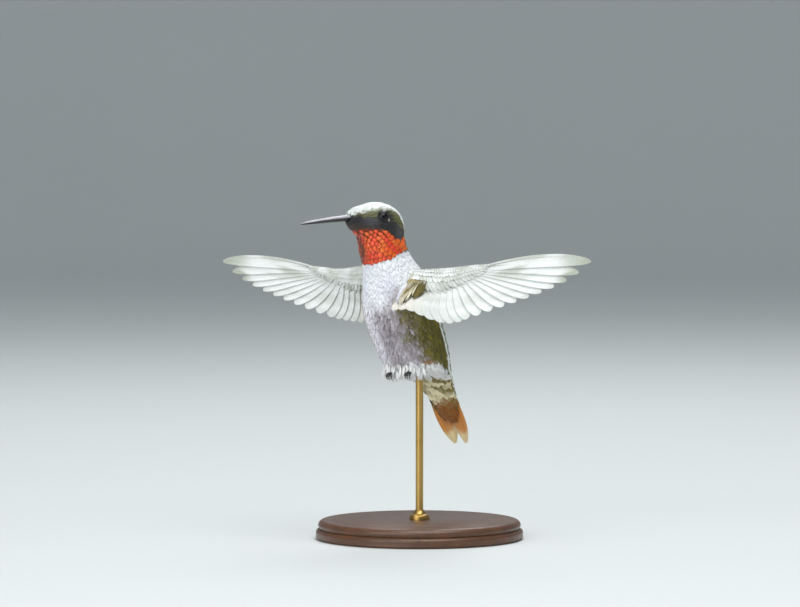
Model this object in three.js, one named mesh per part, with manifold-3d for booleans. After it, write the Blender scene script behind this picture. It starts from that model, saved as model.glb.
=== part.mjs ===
// A ruby-throated hummingbird, an adult male that hovers, as a life-size museum model on a small stand.
// Millimetres. +Z is up, the bird's breast faces -Y and its left wing reaches towards +X.
// The origin is the middle of the underside of the stand's base.
//
// The flesh is modelled whole, as lofts through named stations, and parted by thin cuts into head, neck,
// breast, belly and rump. Wings and tail are overlapping feather blades, joined where they overlap.

import * as THREE from 'three';
import { mergeVertices } from 'three/addons/utils/BufferGeometryUtils.js';
import Module from 'manifold-3d';

const wasm = await Module();
wasm.setup();

// ---------------------------------------------------------------- driving dimensions

const CUT = 0.3; // gap between neighbouring pieces
const DEGREE = Math.PI / 180;

// Stand
const BASE_RADIUS = 27;
const BASE_HEIGHT = 5;
const BASE_EDGE = 1.5; // rounding of the base's upper edge
const BASE_CHAMFER = 0.6; // of its lower edge
const ROD_RADIUS = 1.0;
const ROD_DEPTH = 5; // how far the rod goes up into the body
const COLLAR_RADIUS = 2.6;
const COLLAR_HEIGHT = 2.2;

// Pose: the body's own frame has its origin at the vent, over the rod
const VENT_HEIGHT = 41.7;
const BODY_ROLL = -4; // degrees about Y: the head leans to the bird's right
const HEAD_TURN = -22; // degrees about Z: the bill points to the bird's right
const HEAD_CENTRE = new THREE.Vector3(0, -16.7, 41);

// Trunk and neck, in the body's frame: a front point and a back point (y, z) of each section, half its
// width, and how far it is turned with the head
const BODY_SIDES = 24;
const BODY_RINGS = 27;
const BODY_ROUNDNESS = 2.15; // exponent of the sections: 2 is an ellipse
const BODY = [
  { at: 'inside the head', front: [-21.2, 38.5], back: [-9.6, 41.5], half: 5.2, turn: 22 },
  { at: 'throat', front: [-20.4, 34.5], back: [-8.1, 37.6], half: 5.7, turn: 21 },
  { at: 'collar', front: [-18.9, 29.3], back: [-5.9, 33.2], half: 6.1, turn: 15 },
  { at: 'shoulders', front: [-18.4, 24.0], back: [-1.6, 28.6], half: 7.9, turn: 5 },
  { at: 'breast', front: [-18.1, 18.5], back: [1.2, 24.0], half: 9.0, turn: 0 },
  { at: 'keel', front: [-16.1, 13.2], back: [3.3, 18.3], half: 9.3, turn: 0 },
  { at: 'belly', front: [-13.2, 8.2], back: [5.5, 12.8], half: 9.2, turn: 0 },
  { at: 'flank', front: [-10.3, 4.3], back: [7.3, 7.4], half: 8.8, turn: 0 },
  { at: 'vent', front: [-7.2, 1.4], back: [8.9, 2.6], half: 7.8, turn: 0 },
  { at: 'rump', front: [0.2, 0.7], back: [10.7, -1.3], half: 6.0, turn: 0 },
  { at: 'coverts', front: [6.2, -2.8], back: [12.4, -4.9], half: 4.7, turn: 0 },
  { at: 'covert tips', front: [10.5, -8.3], back: [14.6, -8.6], half: 3.8, turn: 0 },
  { at: 'end', front: [13.4, -11.8], back: [15.4, -11.0], half: 2.4, turn: 0 },
];

// Head, in its own frame (forward is -Y): distance forward of the middle, half width, top and bottom
const HEAD_SIDES = 22;
const HEAD_RINGS = 15;
const HEAD = [
  { at: 'bill base', forward: 8.9, half: 0.85, top: 2.3, bottom: 0.3 },
  { at: 'lores', forward: 7.3, half: 2.1, top: 3.45, bottom: -1.3 },
  { at: 'forehead', forward: 5.4, half: 3.5, top: 4.45, bottom: -3.1 },
  { at: 'brow', forward: 2.8, half: 4.9, top: 5.25, bottom: -4.4 },
  { at: 'crown', forward: 0.0, half: 5.7, top: 5.65, bottom: -5.6 },
  { at: 'ear', forward: -3.0, half: 5.65, top: 5.15, bottom: -6.0 },
  { at: 'hindcrown', forward: -5.5, half: 4.9, top: 4.0, bottom: -6.0 },
  { at: 'nape', forward: -7.2, half: 3.3, top: 1.9, bottom: -4.8 },
  { at: 'nape end', forward: -8.0, half: 1.2, top: -0.4, bottom: -2.6 },
];

// Eyes: only a disc about 2.5 across shows in the lids
const EYE_RADIUS = 1.75;
const EYE_CENTRE = new THREE.Vector3(3.95, -0.4, 1.65); // left eye, in the head's frame
const SOCKET_CLEARANCE = 0.2;

// Bill
const BILL_LENGTH = 14.8; // in front of the feathers
const BILL_ROOT = new THREE.Vector3(0, -7.9, 1.5); // in the head's frame, under the forehead feathers
const BILL_DROP = 3.2; // degrees below level
const BILL_CURVE = 0.5; // sag of the tip below a straight bill
const BILL_HALF_WIDTH = 0.95;
const BILL_HALF_HEIGHT = 0.74;
const BILL_TIP_SHARE = 0.3; // of the height and width at the base
const BILL_GAP = 0.12; // between its halves
const BILL_HIDDEN = 0.7; // length under the feathers
const BILL_SOCKET = { clearance: 0.2, depth: 3, back: 1.2 };
const LOWER_BILL_SHARE = 0.975; // of the upper bill's length

// Wings, in a frame of span (u), chord (v, from the leading edge back) and upper side (n)
const SHOULDER = new THREE.Vector3(6.6, -8.2, 27.4); // left, in the body's frame
// Angles in degrees. twist is how far the trailing edge comes forward, at the root and past the far end of
// twistSpan. The right elbow is held higher, by shrug, and the right wing is a little less open. The left
// wing spreads two more of its inner feathers in front of the flank.
const WING_POSE = {
  left: {
    side: 1, sweep: 15, lift: 7.6, shrug: 0, twist: [56, 14], twistSpan: [-1, 12], open: 1,
    secondaries: 9, innerTip: [-3.8, 15.0], belly: 2.0,
  },
  right: {
    side: -1, sweep: -3, lift: 6.2, shrug: 3.2, twist: [-12, 12], twistSpan: [0, 26], open: 0.92,
    secondaries: 7, innerTip: [0.2, 14.2], belly: 0.8,
  },
};
const SHRUG_SPAN = [-2, 13];
const CAMBER = 0.7;
const CHORD = 13.5;
const FEATHER_THICKNESS = 0.55;
const FEATHER_STEP = 0.1; // each feather lies this much over the next

const ELBOW = new THREE.Vector2(3.5, 2.6);
const WRIST = new THREE.Vector2(10.5, 1.8);
const HAND_TIP = new THREE.Vector2(17.5, 0.9);
const PRIMARIES = 10;
const PRIMARY_TIPS = { from: [15.6, 12.9], reach: 30.9, rise: 7.3, round: 3.2, power: 6 };
const PRIMARY_HALF_WIDTH = [2.3, 1.75]; // first, tenth
const PRIMARY_BOW = -0.07; // of the length, towards the leading edge
const OUTER_SECONDARY_TIP = [12.4, 13.6];
const SECONDARY_HALF_WIDTH = [2.2, 2.0];

const ARM_SIDES = 12;
const ARM = [
  { at: 'root', u: -4.0, v: 3.4, height: 2.6, thickness: 2.2 },
  { at: 'shoulder', u: -1.0, v: 3.2, height: 3.4, thickness: 2.5 },
  { at: 'elbow', u: 3.5, v: 3.2, height: 3.6, thickness: 2.1 },
  { at: 'forearm', u: 7.5, v: 2.6, height: 3.0, thickness: 1.6 },
  { at: 'wrist', u: 11.0, v: 1.8, height: 2.2, thickness: 1.15 },
  { at: 'hand', u: 15.0, v: 1.1, height: 1.4, thickness: 0.8 },
  { at: 'hand tip', u: 19.5, v: 0.7, height: 0.7, thickness: 0.5 },
];

// Tail, in a frame whose length runs down and back from its root inside the coverts
const TAIL_TILT = 31; // degrees from straight down, backwards
const TAIL_ROOT = new THREE.Vector3(0, 7.6, -0.4); // in the body's frame
const RECTRICES = 5; // on each side
const TAIL_LENGTH = [17.2, 20.6]; // middle and outermost feather
const TAIL_FEATHER_HALF_WIDTH = 1.75;
const TAIL_SPREAD = { root: [0.5, 1.6], tip: [0.6, 1.5], bow: [0.3, 2.3] };
const TAIL_FEATHER_STEP = 0.17;

// Legs
const HIP = new THREE.Vector3(2.9, -7.6, 3.9); // left, in the body's frame
const THIGH = new THREE.Vector3(2.6, 2.2, 3.6); // half sizes of the feathered thigh, with its hanging tuft
const ANKLES = { left: new THREE.Vector3(3.4, -9.5, 1.9), right: new THREE.Vector3(-2.3, -9.5, 1.9) };
const SHANK_RADIUS = 0.36;
const TOE_RADIUS = 0.3;
const CLAW_RADIUS = 0.25;
const FRONT_TOES = { headings: [-26, 0, 26], length: 3.1, curl: 150 }; // degrees from knuckle to claw tip
const HIND_TOE = { heading: 180, length: 1.9, curl: 60 };
const TOE_RISE = 20; // degrees that each toe rises as it leaves the ankle
const CLAW_SHARE = 0.3; // of a toe's length
const TOE_SIDES = 6;
const KNUCKLE_RADIUS = 0.5;

// ---------------------------------------------------------------- materials

const finish = (color, roughness, metalness = 0) =>
  new THREE.MeshStandardMaterial({ color, roughness, metalness });
const plumage = (color, roughness = 0.8) => finish(color, roughness);
const MATERIAL = {
  head: () => plumage(0x59603f),
  gorget: () => plumage(0xd8411c, 0.45),
  breast: () => plumage(0xdadbe2),
  belly: () => plumage(0x9c9694),
  rump: () => plumage(0xc3b88d),
  tail: () => plumage(0x8d5122),
  lining: () => plumage(0x8b8147),
  feather: () => plumage(0xcfd3cd),
  thigh: () => plumage(0xe9e9e6),
  horn: () => finish(0x2b2a2d, 0.35),
  eye: () => finish(0x0b0b10, 0.05),
  claw: () => finish(0x1a1919, 0.4),
  wood: () => finish(0x4a2f1d, 0.4),
  brass: () => finish(0xb08d4a, 0.3, 1),
};

// ---------------------------------------------------------------- solids

// A closed geometry as a solid, its faces turned outwards.
function solid(geometry, matrix = new THREE.Matrix4()) {
  const bare = new THREE.BufferGeometry();
  const source = geometry.index ? geometry.toNonIndexed() : geometry;
  bare.setAttribute('position', source.getAttribute('position').clone());
  bare.applyMatrix4(matrix);
  const merged = mergeVertices(bare, 1e-4);
  const points = merged.getAttribute('position').array;
  const corners = new Uint32Array(merged.index.array);
  if (signedVolume(points, corners) < 0) corners.reverse();
  return new wasm.Manifold(new wasm.Mesh({ numProp: 3, vertProperties: points, triVerts: corners }));
}

function signedVolume(points, corners) {
  const [a, b, c] = [new THREE.Vector3(), new THREE.Vector3(), new THREE.Vector3()];
  let sum = 0;
  for (let i = 0; i < corners.length; i += 3) {
    a.fromArray(points, 3 * corners[i]);
    b.fromArray(points, 3 * corners[i + 1]);
    c.fromArray(points, 3 * corners[i + 2]);
    sum += a.dot(b.cross(c));
  }
  return sum / 6;
}

function geometryOf(made) {
  const mesh = made.getMesh();
  const geometry = new THREE.BufferGeometry();
  const points = new Float32Array(mesh.numVert * 3);
  for (let i = 0; i < mesh.numVert; i++) {
    points.set(mesh.vertProperties.subarray(i * mesh.numProp, i * mesh.numProp + 3), 3 * i);
  }
  geometry.setAttribute('position', new THREE.BufferAttribute(points, 3));
  geometry.setIndex(new THREE.BufferAttribute(new Uint32Array(mesh.triVerts), 1));
  return geometry;
}

const joined = (solids) => solids.reduce((sum, next) => sum.add(next));
const largest = (made) => made.decompose().sort((a, b) => b.volume() - a.volume())[0];

// A closed skin over a row of rings with the same number of points, with a fan over each end.
function loft(rings) {
  const sides = rings[0].length;
  const points = rings.flat();
  const corners = [];
  for (let r = 0; r + 1 < rings.length; r++) {
    for (let k = 0; k < sides; k++) {
      const a = r * sides + k;
      const b = r * sides + ((k + 1) % sides);
      corners.push(a, b, b + sides, a, b + sides, a + sides);
    }
  }
  for (const [ring, first] of [[0, 0], [rings.length - 1, (rings.length - 1) * sides]]) {
    const middle = new THREE.Vector3();
    rings[ring].forEach((p) => middle.addScaledVector(p, 1 / sides));
    points.push(middle);
    for (let k = 0; k < sides; k++) {
      const fan = [points.length - 1, first + ((k + 1) % sides), first + k];
      corners.push(...(ring === 0 ? fan : fan.reverse()));
    }
  }
  const geometry = new THREE.BufferGeometry().setFromPoints(points);
  geometry.setIndex(corners);
  return geometry;
}

// A smooth line through one pair or triple of numbers of each station.
const through = (stations, pick) =>
  new THREE.CatmullRomCurve3(stations.map((station) => new THREE.Vector3(...pick(station))));

const power = (value, exponent) => Math.sign(value) * Math.abs(value) ** exponent;

// A ring round a middle, between two half axes, squarer than an ellipse where roundness is over 2.
function ring(middle, across, along, sides, roundness = 2) {
  return Array.from({ length: sides }, (_, k) => {
    const angle = (2 * Math.PI * k) / sides;
    return middle
      .clone()
      .addScaledVector(across, power(Math.cos(angle), 2 / roundness))
      .addScaledVector(along, power(Math.sin(angle), 2 / roundness));
  });
}

// A round bar along a curve, whose radius follows a function of the share of the length.
function bar(curve, radiusAt, steps, sides) {
  const frames = curve.computeFrenetFrames(steps, false);
  const rings = [];
  for (let i = 0; i <= steps; i++) {
    const radius = radiusAt(i / steps);
    const across = frames.normals[i].clone().multiplyScalar(radius);
    const along = frames.binormals[i].clone().multiplyScalar(radius);
    rings.push(ring(curve.getPointAt(i / steps), across, along, sides));
  }
  return loft(rings);
}

// ---------------------------------------------------------------- frames

const turned = (axis, degrees) => new THREE.Matrix4().makeRotationAxis(axis, degrees * DEGREE);
const moved = (v) => new THREE.Matrix4().makeTranslation(v.x, v.y, v.z);
const X = new THREE.Vector3(1, 0, 0);
const Y = new THREE.Vector3(0, 1, 0);
const Z = new THREE.Vector3(0, 0, 1);

const BODY_FRAME = moved(new THREE.Vector3(0, 0, VENT_HEIGHT)).multiply(turned(Y, BODY_ROLL));
const HEAD_FRAME = moved(HEAD_CENTRE.clone().applyMatrix4(BODY_FRAME)).multiply(turned(Z, HEAD_TURN));
const TAIL_FRAME = BODY_FRAME.clone().multiply(moved(TAIL_ROOT)).multiply(turned(X, TAIL_TILT));

function wingFrame({ side, sweep, lift }) {
  const shoulder = SHOULDER.clone().multiply(new THREE.Vector3(side, 1, 1)).applyMatrix4(BODY_FRAME);
  const span = new THREE.Vector3(
    side * Math.cos(sweep * DEGREE) * Math.cos(lift * DEGREE),
    Math.sin(sweep * DEGREE) * Math.cos(lift * DEGREE),
    Math.sin(lift * DEGREE),
  );
  const upper = new THREE.Vector3().crossVectors(span, Z).multiplyScalar(-side).normalize();
  const chord = new THREE.Vector3().crossVectors(upper, span).multiplyScalar(side);
  return new THREE.Matrix4().makeBasis(span, chord, upper).setPosition(shoulder);
}

// ---------------------------------------------------------------- head, neck and trunk

// Each section of the trunk stands on its front and back points and is turned about the vertical.
function bodyLoft(grow = 0) {
  const front = through(BODY, (s) => [0, ...s.front]);
  const back = through(BODY, (s) => [0, ...s.back]);
  const shape = through(BODY, (s) => [s.half, s.turn, 0]);
  const rings = [];
  for (let i = 0; i < BODY_RINGS; i++) {
    const t = i / (BODY_RINGS - 1);
    const [a, b, c] = [front.getPoint(t), back.getPoint(t), shape.getPoint(t)];
    const middle = a.clone().add(b).multiplyScalar(0.5);
    const along = b.clone().sub(middle);
    along.setLength(along.length() + grow);
    const across = X.clone().multiplyScalar(c.x + grow);
    along.applyAxisAngle(Z, -c.y * DEGREE);
    across.applyAxisAngle(Z, -c.y * DEGREE);
    rings.push(ring(middle, across, along, BODY_SIDES, BODY_ROUNDNESS));
  }
  return loft(rings);
}

function headLoft() {
  const shape = through(HEAD, (s) => [s.half, s.top, s.bottom]);
  const place = through(HEAD, (s) => [0, -s.forward, 0]);
  const rings = [];
  for (let i = 0; i < HEAD_RINGS; i++) {
    const t = i / (HEAD_RINGS - 1);
    const [half, top, bottom] = shape.getPoint(t).toArray();
    const middle = place.getPoint(t).setZ((top + bottom) / 2);
    const along = Z.clone().multiplyScalar((top - bottom) / 2);
    rings.push(ring(middle, X.clone().multiplyScalar(half), along, HEAD_SIDES));
  }
  return loft(rings);
}

// A thin flat slab through a point, square to a direction: what it takes away parts two pieces.
const SLAB_SIZE = 60;
function slab(point, tilt, frame) {
  const place = frame.clone().multiply(moved(point)).multiply(turned(X, tilt));
  return solid(new THREE.BoxGeometry(SLAB_SIZE, SLAB_SIZE, CUT), place);
}

// Where the flesh is parted: points in the frame named, and the cut's tilt from level, in degrees.
const CUTS = [
  { between: 'head and neck', point: new THREE.Vector3(0, 0, -2.7), tilt: -6, frame: HEAD_FRAME },
  { between: 'neck and breast', point: new THREE.Vector3(0, -1, -9.2), tilt: 17, frame: HEAD_FRAME },
  { between: 'breast and belly', point: new THREE.Vector3(0, -6.6, 15.5), tilt: 15, frame: BODY_FRAME },
  { between: 'belly and rump', point: new THREE.Vector3(0, 5.4, -1.0), tilt: 44, frame: BODY_FRAME },
];
const FLESH = ['head', 'neck', 'breast', 'belly', 'rump'];

const trunk = solid(bodyLoft(), BODY_FRAME);
const trunkWithGap = solid(bodyLoft(CUT), BODY_FRAME);
const skull = solid(headLoft(), HEAD_FRAME);

const eyeAt = (side) =>
  HEAD_FRAME.clone().multiply(moved(EYE_CENTRE.clone().multiply(new THREE.Vector3(side, 1, 1))));
const eyeball = (side, clearance = 0) =>
  solid(new THREE.SphereGeometry(EYE_RADIUS + clearance, 14, 9).rotateZ(Math.PI / 2), eyeAt(side));

function rodGeometry(radius, from, to) {
  const upright = new THREE.CylinderGeometry(radius, radius, to - from, 20).rotateX(Math.PI / 2);
  return upright.translate(0, 0, (from + to) / 2);
}
const rodTop = VENT_HEIGHT + ROD_DEPTH;

// ---------------------------------------------------------------- bill

// A half round section tapers along the bill: the culmen above, the lower bill's keel below.
function billGeometry(up, share) {
  const steps = 11;
  const sides = 7;
  const root = BILL_ROOT.clone();
  const length = (BILL_LENGTH + BILL_HIDDEN) * share;
  const rings = [];
  for (let i = 0; i <= steps; i++) {
    const t = i / steps;
    const taper = (1 - t) ** 0.7 * (1 - BILL_TIP_SHARE) + BILL_TIP_SHARE;
    const sharp = Math.sqrt(Math.max(0, 1 - t ** 8)) + 0.12 * t ** 8;
    const half = BILL_HALF_WIDTH * taper * sharp;
    const height = BILL_HALF_HEIGHT * taper * sharp;
    const middle = new THREE.Vector3(0, -t * length, -BILL_CURVE * (t * share) ** 2);
    const section = [];
    for (let k = 0; k < sides; k++) {
      const angle = (Math.PI * k) / (sides - 1);
      const z = up * (BILL_GAP / 2 + height * Math.sin(angle));
      section.push(new THREE.Vector3(half * Math.cos(angle), 0, z).add(middle));
    }
    rings.push(section.map((p) => p.applyMatrix4(turned(X, BILL_DROP)).add(root)));
  }
  return loft(rings);
}

const upperBill = solid(billGeometry(1, 1), HEAD_FRAME);
const lowerBill = solid(billGeometry(-1, LOWER_BILL_SHARE), HEAD_FRAME);
const socketPlace = HEAD_FRAME.clone().multiply(moved(BILL_ROOT)).multiply(turned(X, BILL_DROP));
const socketRadius = BILL_HALF_WIDTH + BILL_SOCKET.clearance;
const socketGeometry = new THREE.CylinderGeometry(socketRadius, socketRadius, BILL_SOCKET.depth, 12);
const billSocket = solid(socketGeometry.translate(0, -BILL_SOCKET.back, 0), socketPlace);

// ---------------------------------------------------------------- flesh, cut into its parts

const hollows = joined([
  eyeball(1, SOCKET_CLEARANCE),
  eyeball(-1, SOCKET_CLEARANCE),
  billSocket,
  solid(rodGeometry(ROD_RADIUS + CUT, 0, rodTop + CUT)),
]);
const whole = skull.add(trunk).subtract(hollows);
const slabs = joined(CUTS.map((cut) => slab(cut.point, cut.tilt, cut.frame)));
const height = (made) => {
  const box = made.boundingBox();
  return box.max[2] + box.min[2];
};
const fleshParts = whole
  .subtract(slabs)
  .decompose()
  .sort((a, b) => b.volume() - a.volume())
  .slice(0, FLESH.length)
  .sort((a, b) => height(b) - height(a));

// ---------------------------------------------------------------- feathers

// Share of a vane's full width at a share of its length: narrow at the quill, full past the middle, round at
// the tip.
const VANE_FULL = 0.62;
function vaneWidth(t) {
  if (t < VANE_FULL) return 0.45 + 0.55 * Math.sin((Math.PI / 2) * (t / VANE_FULL));
  return Math.sqrt(Math.max(0, 1 - ((t - VANE_FULL) / (1 - VANE_FULL)) ** 2));
}

// A flat blade along a bowed line, from root to tip.
function blade(root, tip, bow, halfWidth, level, stations = [0, 0.3, 0.62, 0.84, 0.96]) {
  const side = new THREE.Vector2().subVectors(tip, root);
  const middle = root
    .clone()
    .add(tip)
    .multiplyScalar(0.5)
    .add(new THREE.Vector2(-side.y, side.x).multiplyScalar(bow));
  const quill = new THREE.QuadraticBezierCurve(root, middle, tip);
  const near = [];
  const far = [];
  for (const t of stations) {
    const heading = quill.getTangent(t);
    const offset = new THREE.Vector2(-heading.y, heading.x).multiplyScalar(halfWidth * vaneWidth(t));
    near.push(quill.getPoint(t).add(offset));
    far.unshift(quill.getPoint(t).sub(offset));
  }
  const outline = new THREE.Shape([...near, tip.clone(), ...far]);
  const options = { depth: FEATHER_THICKNESS, bevelEnabled: false, steps: 1 };
  return new THREE.ExtrudeGeometry(outline, options).translate(0, 0, level - FEATHER_THICKNESS / 2);
}

const mix = THREE.MathUtils.lerp;

function primary(i) {
  const t = i / (PRIMARIES - 1);
  const tips = PRIMARY_TIPS;
  const root = WRIST.clone().lerp(HAND_TIP, t);
  const tip = new THREE.Vector2(
    tips.from[0] + tips.reach * t,
    tips.from[1] - tips.rise * t - tips.round * t ** tips.power,
  );
  const half = mix(...PRIMARY_HALF_WIDTH, t);
  return blade(root, tip, PRIMARY_BOW, half, (i + 1) * FEATHER_STEP);
}

function secondary(i, { secondaries, innerTip, belly }) {
  const t = i / (secondaries - 1);
  const root = WRIST.clone().lerp(ELBOW, t);
  const tip = new THREE.Vector2(...OUTER_SECONDARY_TIP).lerp(new THREE.Vector2(...innerTip), t);
  tip.y += belly * 2 * t * (1 - t);
  return blade(root, tip, 0, mix(...SECONDARY_HALF_WIDTH, t), -i * FEATHER_STEP);
}

// The wing is modelled flat, then cambered, raised at the elbow and twisted about its span.
function twistWing(geometry, { shrug, twist, twistSpan, open }) {
  const at = geometry.getAttribute('position');
  for (let i = 0; i < at.count; i++) {
    const [u, v, n] = [at.getX(i), at.getY(i) * open, at.getZ(i)];
    const share = THREE.MathUtils.clamp(v / CHORD, 0, 1);
    const high = n + CAMBER * 4 * share * (1 - share);
    const angle = mix(...twist, THREE.MathUtils.smoothstep(u, ...twistSpan)) * DEGREE;
    const down = v * Math.cos(angle) + high * Math.sin(angle);
    const raised = shrug * (1 - THREE.MathUtils.smoothstep(u, ...SHRUG_SPAN)) * (1 - share);
    at.setXYZ(i, u, down - raised, high * Math.cos(angle) - v * Math.sin(angle));
  }
  return geometry;
}

function armGeometry(grow = 0) {
  const place = through(ARM, (s) => [s.u, s.v, 0]);
  const size = through(ARM, (s) => [s.height, s.thickness, 0]);
  const steps = 12;
  const rings = [];
  for (let i = 0; i <= steps; i++) {
    const [high, thick] = size.getPoint(i / steps).toArray();
    const across = new THREE.Vector3(0, high + grow, 0);
    const along = new THREE.Vector3(0, 0, thick + grow);
    const middle = place.getPoint(i / steps);
    if (i === 0) middle.x -= grow;
    if (i === steps) middle.x += grow;
    rings.push(ring(middle, across, along, ARM_SIDES));
  }
  return loft(rings);
}

// The cut between the first primary and the first secondary runs from the wrist to the trailing edge.
function handCut() {
  const tips = [PRIMARY_TIPS.from, OUTER_SECONDARY_TIP];
  const foot = new THREE.Vector2((tips[0][0] + tips[1][0]) / 2, (tips[0][1] + tips[1][1]) / 2);
  const heading = Math.atan2(foot.y - WRIST.y, foot.x - WRIST.x);
  const box = new THREE.BoxGeometry(SLAB_SIZE, CUT, SLAB_SIZE).rotateZ(heading);
  return solid(box.translate(foot.x, foot.y, 0));
}

function wingSolids(pose) {
  const frame = wingFrame(pose);
  const count = (n, make) => Array.from({ length: n }, (_, i) => solid(make(i, pose)));
  const vanes = joined([...count(PRIMARIES, primary), ...count(pose.secondaries, secondary)]);
  const [first, second] = vanes
    .subtract(solid(armGeometry(CUT)))
    .subtract(handCut())
    .decompose()
    .sort((a, b) => b.volume() - a.volume());
  const span = (made) => made.boundingBox().max[0];
  const [primaries, secondaries] = span(first) > span(second) ? [first, second] : [second, first];
  const place = (geometry) => largest(solid(twistWing(geometry, pose), frame).subtract(trunkWithGap));
  return {
    frame,
    arm: place(armGeometry()),
    secondaries: place(geometryOf(secondaries)),
    primaries: place(geometryOf(primaries)),
  };
}

// ---------------------------------------------------------------- tail

function tailSolid() {
  const vanes = [];
  for (const side of [1, -1]) {
    for (let i = 0; i < RECTRICES; i++) {
      const t = i / (RECTRICES - 1);
      const length = mix(...TAIL_LENGTH, t ** 0.6);
      const root = new THREE.Vector2(side * mix(...TAIL_SPREAD.root, t), 0);
      const tip = new THREE.Vector2(side * mix(...TAIL_SPREAD.tip, t), -length);
      const bow = (side * mix(...TAIL_SPREAD.bow, t)) / length;
      const level = -(i * 2 + (side < 0 ? 1 : 0)) * 0.5 * TAIL_FEATHER_STEP;
      const flat = blade(root, tip, bow, TAIL_FEATHER_HALF_WIDTH, level, [0, 0.35, 0.7, 0.87, 0.96]);
      vanes.push(solid(flat.rotateX(Math.PI / 2)));
    }
  }
  const vane = solid(geometryOf(joined(vanes)), TAIL_FRAME);
  return largest(vane.subtract(trunkWithGap));
}

// ---------------------------------------------------------------- legs and feet

// A toe leaves the ankle at a heading about the vertical and curls down and under.
function toe(start, heading, { length, curl }) {
  const steps = 5;
  const points = [start.clone()];
  for (let i = 1; i <= steps; i++) {
    const pitch = (TOE_RISE - curl * ((i - 1) / (steps - 1))) * DEGREE;
    const step = new THREE.Vector3(0, -Math.cos(pitch), Math.sin(pitch)).multiplyScalar(length / steps);
    points.push(points[i - 1].clone().add(step.applyAxisAngle(Z, heading * DEGREE)));
  }
  const radiusAt = (t) => mix(CLAW_RADIUS, TOE_RADIUS, Math.min(1, (1 - t) / CLAW_SHARE));
  return bar(new THREE.CatmullRomCurve3(points), radiusAt, steps, TOE_SIDES);
}

function legSolids(side, ankle) {
  const hip = HIP.clone().multiply(new THREE.Vector3(side, 1, 1));
  const ball = (radius) => {
    const sphere = new THREE.SphereGeometry(radius, 8, 6);
    return solid(sphere.translate(...ankle.toArray()), BODY_FRAME);
  };
  const thigh = new THREE.SphereGeometry(1, 14, 9).rotateX(Math.PI / 2).scale(...THIGH.toArray());
  const shank = bar(new THREE.LineCurve3(hip, ankle), () => SHANK_RADIUS, 1, 8);
  const limb = solid(thigh.translate(...hip.toArray()), BODY_FRAME).add(solid(shank, BODY_FRAME));
  const leg = largest(limb.subtract(trunkWithGap).subtract(ball(KNUCKLE_RADIUS + CUT)));

  const toes = FRONT_TOES.headings.map((heading) => toe(ankle, heading, FRONT_TOES));
  toes.push(toe(ankle, HIND_TOE.heading, HIND_TOE));
  const digits = toes.map((geometry) => solid(geometry, BODY_FRAME));
  const foot = joined([ball(KNUCKLE_RADIUS), ...digits]);
  return { leg, foot: largest(foot.subtract(trunkWithGap).subtract(leg)) };
}

// ---------------------------------------------------------------- stand

function baseGeometry() {
  const profile = [new THREE.Vector2(0, 0), new THREE.Vector2(BASE_RADIUS - BASE_CHAMFER, 0)];
  profile.push(new THREE.Vector2(BASE_RADIUS, BASE_CHAMFER));
  const corner = new THREE.Vector2(BASE_RADIUS - BASE_EDGE, BASE_HEIGHT - BASE_EDGE);
  for (let i = 0; i <= 3; i++) {
    const angle = (Math.PI / 2) * (i / 3);
    profile.push(new THREE.Vector2(BASE_EDGE * Math.cos(angle), BASE_EDGE * Math.sin(angle)).add(corner));
  }
  profile.push(new THREE.Vector2(0, BASE_HEIGHT));
  return new THREE.LatheGeometry(profile, 40).rotateX(Math.PI / 2);
}

function collarGeometry() {
  const foot = BASE_HEIGHT + CUT;
  const profile = [
    new THREE.Vector2(0, foot),
    new THREE.Vector2(COLLAR_RADIUS, foot),
    new THREE.Vector2(COLLAR_RADIUS, foot + 0.4 * COLLAR_HEIGHT),
    new THREE.Vector2(COLLAR_RADIUS * 0.62, foot + COLLAR_HEIGHT),
    new THREE.Vector2(0, foot + COLLAR_HEIGHT),
  ];
  return new THREE.LatheGeometry(profile, 24).rotateX(Math.PI / 2);
}

// ---------------------------------------------------------------- the model

const model = new THREE.Group();

// A mesh whose geometry is in its own frame, placed by that frame's position and turn.
function add(name, made, material, frame = new THREE.Matrix4()) {
  const home = frame.clone();
  if (home.determinant() < 0) home.multiply(new THREE.Matrix4().makeScale(1, 1, -1));
  const geometry = geometryOf(made).applyMatrix4(home.clone().invert());
  const mesh = new THREE.Mesh(geometry, material);
  mesh.name = name;
  home.decompose(mesh.position, mesh.quaternion, mesh.scale);
  model.add(mesh);
}

add('stand_base', solid(baseGeometry()), MATERIAL.wood());
const rod = solid(rodGeometry(ROD_RADIUS, BASE_HEIGHT + CUT, rodTop)).add(solid(collarGeometry()));
add('stand_rod', rod, MATERIAL.brass());

const FLESH_MATERIAL = { head: 'head', neck: 'gorget', breast: 'breast', belly: 'belly', rump: 'rump' };
FLESH.forEach((name, i) => {
  add(name, fleshParts[i], MATERIAL[FLESH_MATERIAL[name]](), i < 2 ? HEAD_FRAME : BODY_FRAME);
});
add('bill_upper', upperBill, MATERIAL.horn(), HEAD_FRAME);
add('bill_lower', lowerBill, MATERIAL.horn(), HEAD_FRAME);
add('tail', tailSolid(), MATERIAL.tail(), TAIL_FRAME);

for (const [name, pose] of Object.entries(WING_POSE)) {
  add('eye_' + name, eyeball(pose.side), MATERIAL.eye(), eyeAt(pose.side));
  const wing = wingSolids(pose);
  add('wing_' + name + '_arm', wing.arm, MATERIAL.lining(), wing.frame);
  add('wing_' + name + '_secondaries', wing.secondaries, MATERIAL.feather(), wing.frame);
  add('wing_' + name + '_primaries', wing.primaries, MATERIAL.feather(), wing.frame);
  const { leg, foot } = legSolids(pose.side, ANKLES[name]);
  add('leg_' + name, leg, MATERIAL.thigh(), BODY_FRAME);
  add('foot_' + name, foot, MATERIAL.claw(), BODY_FRAME);
}

export default model;
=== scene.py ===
# %% [markdown]
# # A ruby-throated hummingbird, life size
# The bird is a still museum model: skin and feathers over fixed solids, held up by a small stand. The solids
# come first, as a frame that gives every piece its place, and each cell after that adds one part of the look.


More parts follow.
